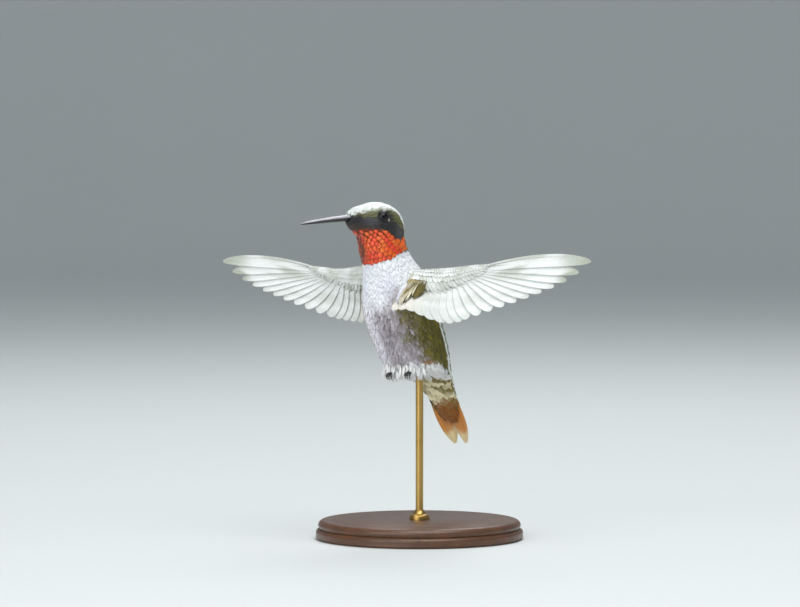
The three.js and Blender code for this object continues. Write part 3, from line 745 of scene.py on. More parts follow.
# %% A mesh from arrays
def mesh_from(name, places, faces):
    """A mesh of places in millimetres; faces are rows of three or four vertices."""
    sizes = np.array([len(face) for face in faces])
    corners = np.concatenate([np.array(face) for face in faces])
    mesh = bpy.data.meshes.new(name)
    mesh.vertices.add(len(places))
    mesh.vertices.foreach_set("co", (places * MM).ravel())
    mesh.loops.add(len(corners))
    mesh.loops.foreach_set("vertex_index", corners)
    mesh.polygons.add(len(sizes))
    mesh.polygons.foreach_set("loop_start", np.concatenate([[0], np.cumsum(sizes)[:-1]]))
    mesh.polygons.foreach_set("use_smooth", np.ones(len(sizes), bool))
    mesh.update(calc_edges=True)
    return placed(name, mesh)


def copied_faces(made, copies):
    """The faces of a vane repeated for a number of copies."""
    count = len(made["along"])
    return [[v + i * count for v in face] for i in range(copies) for face in made["faces"]]


def set_uv(thing, name, values):
    """A UV map with one place for each vertex."""
    layer = thing.data.uv_layers.new(name=name)
    corners = read_rows(thing.data.loops, "vertex_index", 1, int)[:, 0]
    layer.data.foreach_set("uv", np.asarray(values, np.float32)[corners].ravel())


# %% Unwrap of the skin
PATCH = 0.003  # each feather's share of the unwrap


def unwrap(points):
    """A place from 0 to 1 both ways on the skin's own unwrap: round the trunk, and down it from the crown."""
    place, turn, _ = on_trunk(points)
    local = in_head(points)
    round_head = np.degrees(np.arctan2(local[:, 0], -local[:, 1]))
    on_head = local[:, 2] > -4
    across = np.where(on_head, round_head, turn) / 360 + 0.5
    down = np.where(on_head, 0.02 + (6 - local[:, 2]) / 10 * 0.26, 0.3 + (place + 0.6) / 12.6 * 0.68)
    return np.stack([across * 0.96 + 0.02, down.clip(0.01, 0.99)], -1)


def unwrap_patches(roots, made, copies):
    """Gives each vane a tiny patch at its root's place on the unwrap."""
    corner = np.stack([made["across"].clip(-1, 1) / 2, made["along"] - 0.5], -1) * PATCH
    return (roots[:, None, :] + corner[None]).reshape(copies * len(made["along"]), 2)


print("unwrap of the first points:", unwrap(skin_points[:2]).round(2))


# %% Room for the eyes
EYE_RADIUS = 1.75
EYE_CENTRE = np.array([3.95, -0.4, 1.65])  # in the head's frame; the other eye is its mirror image
GAZE = unit(np.array([0.88, -0.46, 0.13]))
OPENING = 1.3  # radius of the bare disc, with its lids


def in_opening(points, margin=0.0):
    """True for points over the bare disc of either eye."""
    offset = in_head(points)
    offset[:, 0] = np.abs(offset[:, 0])
    offset -= EYE_CENTRE
    out = offset @ GAZE
    return (np.linalg.norm(offset - out[:, None] * GAZE, axis=1) < OPENING + margin) & (out > 0)


def short_of_eye(points, length):
    """Lengths cut so that no vane reaches over an eye."""
    place, normal = nearest_on_skin(points)
    ahead = lie(place, normal, on_trunk(place)[2])
    room = length.copy()
    for share in np.linspace(1, 0.1, 19):
        over = in_opening(place + ahead * (length * share)[:, None], 0.1)
        room = np.where(over, length * (share - 0.05), room)
    return room


print("points of the skin under the eyes:", int(in_opening(skin_points).sum()))


# %% Laying vanes on the skin
SHARP_FOLD = 0.35  # cosine of the bend of the skin under a vane at which the vane stays straight


def lay(name, roots, length, width, rise, made, sink=0.12, cup=0.16, thick=0.03, stray=0.0, uneven=0.07,
        colours=None, hang=None):
    """Lays one vane at each root. Sizes are arrays in millimetres; rise is the tip's height over the skin.

    The vanes wear the markings at their roots, or the two colours given. They follow the skin, or hang free in
    the direction given.
    """
    copies = len(roots)
    start, normal0 = nearest_on_skin(roots)
    ahead = lie(start, normal0, on_trunk(start)[2]) if hang is None else np.tile(unit(hang), (copies, 1))
    if stray:
        sideways = np.cross(normal0, ahead)
        ahead = unit(ahead + sideways * rng.normal(0, stray, copies)[:, None])
    reach = ahead * length[:, None] / 2
    half, normal1 = (start + reach, normal0) if hang is not None else nearest_on_skin(start + reach)
    ahead1 = unit(half - start)
    straight = half + ahead1 * length[:, None] / 2
    tip, normal2 = (straight, normal0) if hang is not None else nearest_on_skin(straight)
    sharp = np.einsum("pj,pj->p", normal0, normal2) < SHARP_FOLD
    tip[sharp] = straight[sharp]
    normal2[sharp] = normal1[sharp]
    p0 = start - normal0 * sink
    p1 = half + normal1 * (rise * 0.55)[:, None]
    p2 = tip + normal2 * rise[:, None]
    t = made["along"][None, :, None]
    bend = [part[:, None] for part in (p0, 2 * p1 - (p0 + p2) / 2, p2)]
    centre, heading = curve(*bend, t), curve_heading(*bend, t)
    up = unit((1 - t) * normal0[:, None] + t * normal2[:, None])
    beside = unit(np.cross(heading, up))
    up = np.cross(beside, heading)
    across = made["across"][None, :, None]
    side = made["side"][None, :, None]
    broad = width[:, None, None] / 2
    places = centre + beside * across * broad
    places += up * (side * thick * (1.15 - 0.6 * t) - cup * across**2 * broad)
    thing = mesh_from(name, places.reshape(-1, 3), copied_faces(made, copies))
    count = len(made["along"])
    ground, fringe = markings(start) if colours is None else (np.tile(c, (copies, 1)) for c in colours)
    tone = 1 + rng.normal(0, uneven, copies)[:, None]
    set_colours(thing, "ground", np.repeat((ground * tone).clip(0, 1), count, 0))
    set_colours(thing, "fringe", np.repeat((fringe * tone).clip(0, 1), count, 0))
    set_uv(thing, "OFBake", unwrap_patches(unwrap(start), made, copies))
    set_uv(thing, "vane", np.tile(np.stack([made["across"] / 2 + 0.5, made["along"]], -1), (copies, 1)))
    return thing


# %% [markdown]
# ### Where feathers grow
# Roots are scattered over the skin so that no two stand closer than the spacing of their region: close on the
# face, wider on the back. The trick is to try many random places and to keep each only if there is room.


# %% Scattered roots
CELL = 1.2  # size of the boxes that sort the roots kept so far; more than the widest spacing


def spacing_at(points):
    """Distance between roots, in millimetres."""
    found, place = regions(points)[:2]
    on_face = mix(0.27, 0.42, smoothstep(in_head(points)[:, 1], -8.0, -2.5))
    on_body = mix(0.6, 0.7, smoothstep(place, 2.6, 4.0))
    on_back = mix(0.66, 1.0, smoothstep(place, 1.0, 4.0))
    spacing = mix(on_back, on_body, found["under"])
    spacing = mix(spacing, 0.95, found["undertail"] * found["under"])
    return mix(spacing, on_face, found["head"])


def scattered(tries=170000):
    a, b, c = (skin_points[corners[:, i]] for i in range(3))
    cross = np.cross(b - a, c - a)
    area = np.linalg.norm(cross, axis=1) / 2
    chosen = rng.choice(len(area), tries, p=area / area.sum())
    u, v = rng.random((2, tries))
    flip = u + v > 1
    u[flip], v[flip] = 1 - u[flip], 1 - v[flip]
    points = a[chosen] + u[:, None] * (b - a)[chosen] + v[:, None] * (c - a)[chosen]
    spacing = spacing_at(points)
    keys = np.floor(points / CELL).astype(int)
    taken = {}
    kept = []
    for i in range(tries):
        x, y, z = keys[i]
        near = [j for dx in (-1, 0, 1) for dy in (-1, 0, 1) for dz in (-1, 0, 1)
                for j in taken.get((x + dx, y + dy, z + dz), ())]
        if near:
            gap = points[near] - points[i]
            if (np.einsum("pj,pj->p", gap, gap) < spacing[i] ** 2).any():
                continue
        taken.setdefault((x, y, z), []).append(i)
        kept.append(i)
    return points[kept]


roots = scattered()
print(len(roots), "roots")


# %% [markdown]
# ## Materials of skin and feathers
# A feather's colour is not flat: fine barbs run out from its shaft, its root is darker, and its fringe has a
# colour of its own. The shader reads the two stored colours and the vane's own map, on which one axis runs
# across the vane and the other along it, so the barbs follow every feather wherever it lies.


# %% Node helpers
def feed(material, socket, value):
    """Gives a socket a number, a colour or a vector, or wires another node's output to it."""
    if isinstance(value, bpy.types.NodeSocket):
        material.node_tree.links.new(value, socket)
    else:
        socket.default_value = (*value, 1) if socket.type == "RGBA" else value


def new_material(name, values):
    """A material and its shader, with values for the shader's own sockets."""
    material = bpy.data.materials.new(name)
    material.use_nodes = True
    shader = material.node_tree.nodes["Principled BSDF"]
    for socket, value in values.items():
        feed(material, shader.inputs[socket], value)
    return material, shader


def add_node(material, kind, inputs, **settings):
    """A new node. Its settings come first, because they can change which sockets it has."""
    made = material.node_tree.nodes.new("ShaderNode" + kind)
    for key, value in settings.items():
        setattr(made, key, value)
    for socket, value in inputs.items():
        feed(material, made.inputs[socket], value)
    return made


def sum_node(material, operation, *values, clamp=False):
    inputs = dict(enumerate(values))
    return add_node(material, "Math", inputs, operation=operation, use_clamp=clamp).outputs[0]


def blend_colours(material, share, a, b, how="MIX"):
    """Colour a with colour b over it; a Mix node keeps its two colours in sockets 6 and 7."""
    return add_node(material, "Mix", {0: share, 6: a, 7: b}, data_type="RGBA", blend_type=how).outputs[2]


def object_place(material):
    return add_node(material, "TexCoord", {}).outputs["Object"]


def noise_texture(material, scale, detail=3.0, vector=None):
    vector = object_place(material) if vector is None else vector
    return add_node(material, "TexNoise", {"Scale": scale, "Detail": detail, "Vector": vector}).outputs["Fac"]


def stretched(material, scale, degrees=0):
    """Object coordinates, stretched and then turned about Z."""
    turn = (0, 0, math.radians(degrees))
    inputs = {"Rotation": turn, "Scale": scale, "Vector": object_place(material)}
    return add_node(material, "Mapping", inputs).outputs["Vector"]


def stored_colour(material, name):
    return add_node(material, "VertexColor", {}, layer_name=name).outputs["Color"]


def darkened(material, colour, level):
    """A colour times a grey level."""
    grey = add_node(material, "CombineColor", {0: level, 1: level, 2: level}).outputs[0]
    return blend_colours(material, 1.0, colour, grey, "MULTIPLY")


def dressed(material, shader, colour, height, strength, distance):
    """Wires a colour and a fine relief to the shader and returns the material."""
    feed(material, shader.inputs["Base Color"], colour)
    relief = add_node(material, "Bump", {"Strength": strength, "Distance": distance, "Height": height})
    feed(material, shader.inputs["Normal"], relief.outputs["Normal"])
    return material


# %% Feather material
def feather_material(name, roughness, sheen=0.0, coat=0.0, metal=0.0, fringe=1.0, barbs=46, depth=0.3,
                     dark_root=0.35, narrow=1.0, flecks=0.22):
    """Barbs, a darker root, a fringe and flecks, over the stored colours. narrow makes the fringe narrower."""
    material, shader = new_material(name, {
        "Roughness": roughness, "Sheen Weight": sheen, "Sheen Roughness": 0.4, "Coat Weight": coat,
        "Coat Roughness": 0.28, "Metallic": metal})
    calc = partial(sum_node, material)
    own_map = add_node(material, "UVMap", {}, uv_map="vane").outputs["UV"]
    across, along, _ = add_node(material, "SeparateXYZ", {0: own_map}).outputs
    off_shaft = calc("ABSOLUTE", calc("SUBTRACT", across, 0.5))
    slant = calc("SUBTRACT", along, calc("MULTIPLY", off_shaft, 0.9))
    wave = calc("SINE", calc("MULTIPLY", slant, barbs))
    tipward = calc("POWER", along, 3.0 * narrow)
    rim = calc("POWER", calc("MULTIPLY", off_shaft, 2.0), 4.0 * narrow)
    share = calc("MULTIPLY", calc("MAXIMUM", tipward, rim), fringe, clamp=True)
    ground, rim_colour = stored_colour(material, "ground"), stored_colour(material, "fringe")
    colour = blend_colours(material, share, ground, rim_colour)
    rooted = calc("MULTIPLY", calc("POWER", calc("SUBTRACT", 1.0, along), 2.5), dark_root)
    shade = calc("SUBTRACT", calc("MULTIPLY_ADD", wave, 0.27 * flecks, 0.97), rooted)
    fleck = calc("MULTIPLY_ADD", noise_texture(material, 2600, 2), flecks, 1 - flecks / 2)
    colour = darkened(material, colour, calc("MULTIPLY", shade, fleck))
    return dressed(material, shader, colour, wave, depth, 0.00004)


def skin_material():
    """What shows between the feathers: the same markings, a little darker, with a downy grain."""
    material, shader = new_material("skin_down", {"Roughness": 0.85, "Sheen Weight": 0.2})
    grain = noise_texture(material, 3800, 4)
    level = sum_node(material, "MULTIPLY_ADD", grain, 0.35, 0.7)
    colour = darkened(material, stored_colour(material, "ground"), level)
    return dressed(material, shader, colour, grain, 0.5, 0.0001)


SOFT = feather_material("soft_plumage", 0.75, sheen=0.12, fringe=0.85, barbs=30)
DOWNY = feather_material("downy_plumage", 0.85, sheen=0.3, fringe=0.9, barbs=22, depth=0.06, dark_root=0.03,
                         flecks=0.07)
VELVET = feather_material("velvet_plumage", 0.6, sheen=0.15, fringe=0.4, barbs=24)
SILK = feather_material("silky_plumage", 0.5, sheen=0.3, coat=0.15, fringe=0.9, barbs=26, depth=0.2,
                        dark_root=0.15)
FIRE = feather_material("fiery_plumage", 0.36, coat=0.35, metal=0.12, fringe=0.95, barbs=30, depth=0.2,
                        narrow=1.3)
GLOSS = feather_material("glossy_plumage", 0.42, sheen=0.1, coat=0.2, metal=0.15, fringe=0.9, barbs=34)
set_uv(skin, "OFBake", unwrap(skin_points))
finish_piece(skin, skin_material(), FLESH + ARMS + LEGS)


# %% [markdown]
# ### The coat, region by region
# Every root belongs to one tract of feathers, as on the real bird, and each tract has its own size and kind of
# vane. Small plain ones cover the face, round ones the crown and back, and loose fringed ones the breast and
# belly.


# %% Which tract each root belongs to
ROD_ROOM, ROD_TOP = 1.15, 48  # no feathers grow where the rod goes in
COVERTS_FROM = 8.55  # place on the trunk where the undertail coverts begin
found, place, turn, _, _ = regions(roots)
local = in_head(roots)
on_arm = over_wing(roots) > 0.5
on_rod = (np.hypot(roots[:, 0], roots[:, 1]) < ROD_ROOM) & (roots[:, 2] < ROD_TOP)
over_tail = ((place > 11.25) & (np.abs(turn) > 92)) | (place > 11.65)  # feathers from further up cover it
free = ~(in_opening(roots) | on_arm | on_rod | over_tail)
head = found["head"] > 0.5
under = (found["under"] > 0.5) & ~head
throat = free & (found["gorget"] > 0.5)  # bare here, because the scales of the throat stand on a lattice
TRACTS = {"face": free & (found["mask"] > 0.5) & (found["gorget"] <= 0.5)}
TRACTS["crown"] = free & head & ~throat & ~TRACTS["face"]
rest = free & ~head & ~throat & ~TRACTS["face"]
TRACTS["undertail"] = rest & under & (place > COVERTS_FROM)
TRACTS["vent"] = rest & under & (found["vent"] > 0.5) & (place <= COVERTS_FROM)
TRACTS["flank"] = rest & under & (found["flank"] > 0.4) & ~TRACTS["vent"]
TRACTS["breast"] = rest & under & (place < 3.7) & ~TRACTS["flank"]
TRACTS["belly"] = rest & under & ~(TRACTS["undertail"] | TRACTS["vent"] | TRACTS["flank"] | TRACTS["breast"])
TRACTS["back"] = rest & ~under
print({name: int(chosen.sum()) for name, chosen in TRACTS.items()})


# %% Sizes of the vanes of each tract
def spread(mean, share, count):
    """Sizes that vary a little round a mean."""
    return mean * (1 + rng.normal(0, share, count)).clip(0.7, 1.3)


def coat(name, chosen, size, rise, kind, material, slot, **options):
    """Lays the vanes of one tract; size is (length, width) at each root or the same for all."""
    points = roots[chosen] if chosen.dtype == bool else chosen
    count = len(points)
    length = spread(size[0], 0.08, count)
    width = spread(size[1], 0.08, count)
    piece = lay(name, points, length, width, spread(rise, 0.2, count), VANES[kind], **options)
    finish_piece(piece, material)


def head_coat(name, tract, lengths, widths, rise, kind, material, thick):
    """Small vanes that grow larger away from the bill and leave the eyes bare."""
    growth = smoothstep(local[TRACTS[tract], 1], -7.5, -1.5)
    points = roots[TRACTS[tract]]
    length = short_of_eye(points, mix(*lengths, growth))
    room = length > 0.22
    size = length[room], mix(*widths, growth)[room]
    coat(name, points[room], size, rise, kind, material, "crown_plumage", sink=0.05, thick=thick, stray=0.1)


head_coat("coat_face", "face", (0.7, 1.05), (0.34, 0.46), 0.15, "down", VELVET, 0.02)
head_coat("coat_crown", "crown", (0.7, 1.4), (0.38, 0.7), 0.2, "scale", SILK, 0.02)
coat("coat_breast", TRACTS["breast"], (2.5, 1.4), 0.12, "fringed", DOWNY, "breast_plumage",
     stray=0.06, cup=0.06, uneven=0.015, sink=0.04, thick=0.02)
coat("coat_belly", TRACTS["belly"], (2.5, 1.15), 0.3, "fringed", DOWNY, "belly_plumage", stray=0.1)
coat("coat_flank", TRACTS["flank"], (2.5, 1.25), 0.34, "fringed", SOFT, "belly_plumage", stray=0.1)
coat("coat_back", TRACTS["back"], (2.9, 1.9), 0.42, "scale", GLOSS, "belly_plumage", stray=0.06)
coat("coat_vent", TRACTS["vent"], (3.0, 1.2), 0.5, "tuft", DOWNY, "thigh_plumage", stray=0.16)
coat("coat_undertail", TRACTS["undertail"], (3.2, 1.9), 0.4, "shield", SOFT, "covert_plumage", stray=0.06)


# %% [markdown]
# ### Tufts, a line and a spot
# Three small things are laid by themselves. The thighs wear long white down that hangs free over the feet. A
# line of narrow white feathers parts the flank from the back: partly the bird's own pale flank patch, partly a
# painted highlight of the rim light along the back's edge. A few white ones stand behind each eye.


# %% Tufts of the thighs
THIGH = np.array([2.9, -7.6, 3.9])
THIGH_SIZE = np.array([2.6, 2.2, 3.6])
TUFT_LOW = 41.9  # height at which the tufts end, in millimetres
TUFT_BAND = 4.6  # their roots lie no further above it
SHORTEST_TUFT, LONGEST_TUFT = 1.1, 3.4
folded = in_body(roots)
folded[:, 0] = np.abs(folded[:, 0])
off_thigh = np.linalg.norm((folded - THIGH) / (THIGH_SIZE + 0.7), axis=1)
tufted = roots[free & (off_thigh < 1) & (roots[:, 2] < TUFT_LOW + TUFT_BAND)]
drop = (tufted[:, 2] - TUFT_LOW).clip(SHORTEST_TUFT, LONGEST_TUFT)
coat("coat_thighs", tufted, (drop, 0.9), 0.45, "tuft", DOWNY, "thigh_plumage", stray=0.3,
     colours=(VENT_WHITE, VENT_WHITE), hang=np.array([0.05, -0.12, -1.0]))
print(len(tufted), "tufts on the thighs")


# %% The line along the flank
line = []
for at in np.arange(3.3, 9.9, 0.06):
    for side in (1, -1):
        hit, _, _, _ = skin_tree.ray_cast(*ray_round(at, side * (LINE_TURN - 6 * max(0, at - 8.8))))
        line.append(hit)
line = np.array(line)
# Painted highlight: the line is white for the rim light along the back's edge, over the bird's own pale flank
# patch.
coat("coat_rim_line", line, (2.0, 0.8), 0.52, "scale", DOWNY, "breast_plumage", stray=0.03,
     colours=(LINE_RIM_WHITE, LINE_RIM_WHITE))
print(len(line), "feathers in the line, at", np.abs(on_trunk(line)[1]).mean().round(), "degrees")


# %% The spot behind each eye
spot = np.array([(side * 5.2, 0.3 + 0.06 * (k % 2), 0.7 + 0.15 * k) for side in (1, -1) for k in range(7)])
coat("coat_eye_spots", apply_matrix(HEAD_FRAME, spot), (0.5, 0.18), 0.22, "down", VELVET, "crown_plumage",
     sink=0.02, thick=0.03, colours=(SPOT_WHITE, SPOT_WHITE))


# %% [markdown]
# ### The gorget
# The throat is covered by round, cupped feathers in regular rows, like scales. Scattered roots would lose the
# rows, so these stand on a lattice instead: rings round the throat, each turned half a step from the last.


# %% Rows of scales
ROWS = 10
COLUMNS = 30  # all the way round


def throat_lattice():
    points = []
    for row in range(ROWS):
        for column in range(COLUMNS):
            turn = 360 * (column + 0.5 * (row % 2)) / COLUMNS + rng.normal(0, 0.7)
            turn = (turn + 180) % 360 - 180
            at = mix(-0.5, gorget_foot(turn) - 0.1, row / (ROWS - 1)) + rng.normal(0, 0.01)
            hit, _, _, _ = skin_tree.ray_cast(*ray_round(at, turn))
            if hit is not None:
                points.append(hit)
    points = np.array(points)
    return points[regions(points)[0]["gorget"] > 0.5]


scales = throat_lattice()
growth = smoothstep(on_trunk(scales)[0], -0.6, 1.2)
coat("coat_gorget", scales, (mix(1.25, 1.95, growth), mix(0.95, 1.5, growth)), 0.42, "shield", FIRE,
     "gorget_plumage", sink=0.05, cup=0.3, thick=0.04, stray=0.05)
print(len(scales), "scales on the throat")


# %% [markdown]
# ## Wings
# A wing is drawn flat first, as a plan: span one way and chord the other. Each flight feather is a vane along a
# bowed quill in that plan, and only then is the plan cambered, raised at the elbow, twisted and set on the
# shoulder, so all feathers bend together. Every vane is tilted a little about its quill, so that each one's
# outer edge lies over its neighbour's inner edge.


# %% How a wing is set
SHOULDER = Vector((6.6, -8.2, 27.4))
WING_POSE = {
    "left": {"side": 1, "sweep": 15, "lift": 7.6, "shrug": 0, "twist": (56, 14), "span": (-1, 12),
             "open": 1, "secondaries": 9, "inner_tip": (-3.8, 15.0), "belly": 2.0},
    "right": {"side": -1, "sweep": -3, "lift": 6.2, "shrug": 3.2, "twist": (-12, 12), "span": (0, 26),
              "open": 0.92, "secondaries": 7, "inner_tip": (0.2, 14.2), "belly": 0.8},
}
SHRUG_SPAN = (-2, 13)
CAMBER = 0.7
CHORD = 13.5


def wing_frame(pose):
    side, sweep, lift = pose["side"], math.radians(pose["sweep"]), math.radians(pose["lift"])
    shoulder = BODY_FRAME @ Vector((SHOULDER.x * side, SHOULDER.y, SHOULDER.z))
    span = Vector((side * math.cos(sweep) * math.cos(lift), math.sin(sweep) * math.cos(lift), math.sin(lift)))
    upper = (span.cross(Vector((0, 0, 1))) * -side).normalized()
    chord = upper.cross(span) * side
    frame_rows = Matrix((span, chord, upper)).transposed().to_4x4()
    return Matrix.Translation(shoulder) @ frame_rows


def on_wing(pose, u, v, n):
    """The place of a point of the plan: u out along the span, v back from the leading edge, n above."""
    v = v * pose["open"]
    share = np.clip(v / CHORD, 0, 1)
    high = n + CAMBER * 4 * share * (1 - share)
    angle = np.radians(mix(*pose["twist"], smoothstep(u, *pose["span"])))
    down = v * np.cos(angle) + high * np.sin(angle)
    raised = pose["shrug"] * (1 - smoothstep(u, *SHRUG_SPAN)) * (1 - share)
    level = high * np.cos(angle) - v * np.sin(angle)
    return apply_matrix(wing_frame(pose), np.stack([u, down - raised, level], -1))


print("left wrist, mm:", on_wing(WING_POSE["left"], *np.array([[10.5], [1.8], [0]])).round(1))


# %% A vane along a quill
FLIGHT_VANE = vane(18, 26)
COVERT_VANE = scale_vane(8, 8)
SHAFT = vane(6, 14)


def quill_line(root, tip, bow, t):
    """Place and heading along a bowed line in the plan."""
    root, tip = np.array(root, float), np.array(tip, float)
    along = tip - root
    middle = (root + tip) / 2 + bow * np.array([-along[1], along[0]])
    return curve(root, middle, tip, t[:, None]), curve_heading(root, middle, tip, t[:, None])


def blade_width(t):
    """Share of a flight feather's width: narrow at the quill, full past the middle, round at the tip."""
    return outline(t, 0.62, 0.45)


def beside_quill(blade, t, offset):
    """The two coordinates in the plan of places at an offset from the quill."""
    place, heading = quill_line(blade["root"], blade["tip"], blade["bow"], t)
    return (place + np.stack([-heading[:, 1], heading[:, 0]], -1) * offset[:, None]).T


def plan_vane(blade, made, widen=blade_width):
    """Plan coordinates (u, v, n) of a vane's points. A blade says root, tip, bow, half width and levels."""
    t = made["along"]
    offset = blade["half"] * widen(t) * made["across"]
    face = blade.get("face", 1)
    lean = -blade["tilt"] * offset - blade.get("cup", 0.05) * offset**2 * face
    level = curve(*blade["levels"], t) + lean + face * made["side"] * blade["thick"] * (1 - 0.6 * t)
    return *beside_quill(blade, t, offset), level


def plan_shaft(blade, made):
    """The quill's shaft as a fine tapered bar in the vane, a little towards its outer edge."""
    t = made["along"]
    radius = blade["shaft"] * (1 - 0.85 * t)
    offset = blade["half"] * blade["outer"] * blade_width(t * 0.97) + radius * made["across"]
    level = curve(*blade["levels"], t) - blade["tilt"] * offset + radius * made["side"] * 1.1
    return *beside_quill(blade, t * 0.97, offset), level


def vanes_mesh(name, blades, put, colour_of, widen=blade_width, made=FLIGHT_VANE, with_shaft=True):
    """Joins the vanes of many blades in one mesh. put places plan coordinates; colour_of paints them.

    With shafts, each vane and each shaft has a strip of the unwrap to itself.
    """
    places, faces, ground, fringe, own = [], [], [], [], []
    count = 0
    for blade in blades:
        kinds = [(made, plan_vane(blade, made, widen), 0)]
        if with_shaft:
            kinds.append((SHAFT, plan_shaft(blade, SHAFT), 1))
        for form, (u, v, n), shaft in kinds:
            places.append(put(u, v, n))
            colours = colour_of(blade, u, v, form["along"], form["across"], shaft)
            ground.append(colours[0])
            fringe.append(colours[1])
            across = np.full(len(u), 0.5) if shaft else form["across"].clip(-1, 1) / 2 + 0.5
            own.append(np.stack([across, form["along"]], -1))
            faces += [[k + count for k in face] for face in form["faces"]]
            count += len(u)
    thing = mesh_from(name, np.concatenate(places), faces)
    set_colours(thing, "ground", np.concatenate(ground).clip(0, 1))
    set_colours(thing, "fringe", np.concatenate(fringe).clip(0, 1))
    own_map = np.concatenate(own)
    if with_shaft:
        strips = 2 * len(blades)
        sizes = [len(form["along"]) for blade in blades for form in (made, SHAFT)]
        strip = np.repeat(np.arange(strips), sizes)
        across = np.concatenate([form["across"].clip(-1, 1) for blade in blades for form in (made, SHAFT)])
        place = (strip + 0.5 + 0.42 * across) / strips
        set_uv(thing, "OFBake", np.stack([place, 0.02 + 0.96 * own_map[:, 1]], -1))
    set_uv(thing, "vane", own_map)
    outwards(thing)
    return thing


print("a flight vane has", len(FLIGHT_VANE["faces"]), "faces")


# %% Flight feathers
ELBOW, WRIST, HAND_TIP = (3.5, 2.6), (10.5, 1.8), (17.5, 0.9)
PRIMARIES = 10
OUTER_SECONDARY_TIP = (12.4, 13.6)
# Painted light: the wings' pale ground stands for strong light through the vanes; the flight feathers
# themselves are dusky grey brown.
WING_LIT_PALE, WING_SHADE, WING_TIP, WING_WARM = map(paint, ("eaeeec", "cdd3cc", "a3ac98", "e6ddd0"))
SHAFT_COLOUR = paint("8a8678")


def primary(i):
    t = i / (PRIMARIES - 1)
    tip = (15.6 + 30.9 * t, 12.9 - 7.3 * t - 3.2 * t**6)  # the last one makes the wing's tip
    root = mix(np.array(WRIST), np.array(HAND_TIP), t)
    return {"root": root, "tip": tip, "bow": -0.07, "half": mix(2.3, 1.75, t), "levels": (0, 0.1, 0),
            "tilt": 0.13, "thick": 0.05, "shaft": mix(0.16, 0.22, t), "outer": -0.3 - 0.25 * t, "rank": t}


def secondary(i, pose):
    t = i / (pose["secondaries"] - 1)
    tip = mix(np.array(OUTER_SECONDARY_TIP), np.array(pose["inner_tip"]), t)
    tip[1] += pose["belly"] * 2 * t * (1 - t)
    root = mix(np.array(WRIST), np.array(ELBOW), t)
    return {"root": root, "tip": tip, "bow": 0, "half": mix(2.2, 2.0, t), "levels": (0, 0.05, 0),
            "tilt": 0.13, "thick": 0.05, "shaft": 0.13, "outer": -0.18, "rank": -t}


def flight_colour(blade, u, v, along, across, shaft):
    """Vanes painted pale for light through the dusky feathers, with sage tips; the outer vanes and the inner
    wing are greyer.
    """
    if shaft:
        rows = np.repeat(mix(SHAFT_COLOUR, WING_LIT_PALE, 0.35)[None], len(u), 0)
        return rows, rows
    plan = np.stack([u, v, 0 * u + 7 * blade["rank"]], -1)
    streak = ripple(plan * np.array([1, 3.2, 1]), 4.5, 21)
    grey = 0.12 + 0.45 * streak + 0.3 * smoothstep(-across, 0.1, 0.9)
    ground = tint(WING_LIT_PALE, WING_SHADE, grey)
    ground = mix(ground, WING_WARM, 0.8 * smoothstep(-blade["rank"], 0.45, 0.9))
    leading = 0.55 * smoothstep(streak, 0.1, 0.6) * smoothstep(blade["rank"], 0.55, 1.0)
    tipped = smoothstep(u + 1.2 * streak, 36, 43) * 0.85 + 0.2 * smoothstep(along, 0.88, 1.0) + leading
    ground = tint(ground, WING_TIP, tipped)
    return ground, mix(ground, WING_LIT_PALE, 0.25) * 0.97


FLIGHT = feather_material("flight_plumage", 0.45, sheen=0.25, coat=0.1, fringe=0.6, barbs=150, depth=0.45,
                          dark_root=0.1)
for name, pose in WING_POSE.items():
    put = partial(on_wing, pose)
    hand = vanes_mesh("primaries_" + name, [primary(i) for i in range(PRIMARIES)], put, flight_colour)
    finish_piece(hand, FLIGHT, ["wing_%s_primaries" % name])
    inner_blades = [secondary(i, pose) for i in range(pose["secondaries"])]
    inner = vanes_mesh("secondaries_" + name, inner_blades, put, flight_colour)
    finish_piece(inner, FLIGHT, ["wing_%s_secondaries" % name])


# %% [markdown]
# ### Wing coverts
# The arm and the roots of the flight feathers are roofed on both faces by rows of small feathers. The rows
# follow the arm's own round section, so each one starts on the arm and ends flat on the flight feathers.


# %% Rows of coverts
ARM = [  # span, middle of the chord, half height, half thickness
    (-4.0, 3.4, 2.6, 2.2), (-1.0, 3.2, 3.4, 2.5), (3.5, 3.2, 3.6, 2.1), (7.5, 2.6, 3.0, 1.6),
    (11.0, 1.8, 2.2, 1.15), (15.0, 1.1, 1.4, 0.8), (19.5, 0.7, 0.7, 0.5),
]
COVERT_ROWS = [  # where the row stands on the arm (-1 is the leading edge), length, width
    (-0.97, 1.3, 0.9), (-0.8, 1.6, 1.0), (-0.5, 1.9, 1.15),
    (-0.15, 2.2, 1.3), (0.25, 2.7, 1.5), (0.62, 4.2, 1.9),
]
ARM_FROM, ARM_TO = -2.6, 19.4  # span of the first row
COVERT_STEP = 0.6  # distance between two coverts of a row, as a share of their width
LINING_GOLD, LINING_BUFF, UPPER_GREEN = map(paint, ("75692a", "d8c48a", "5d6b3c"))
arm_rows = through(ARM, np.linspace(0, 1, 60))


def arm_section(u):
    beyond = enumerate((0.6, 0.6, 0.1), 1)
    return [np.interp(u, arm_rows[:, 0], arm_rows[:, k], right=value) for k, value in beyond]


def arm_height(u, v):
    """Height of the arm's surface above the middle of the wing."""
    middle, high, thick = arm_section(u)
    return thick * math.sqrt(max(0, 1 - ((v - middle) / (high + 0.01)) ** 2))


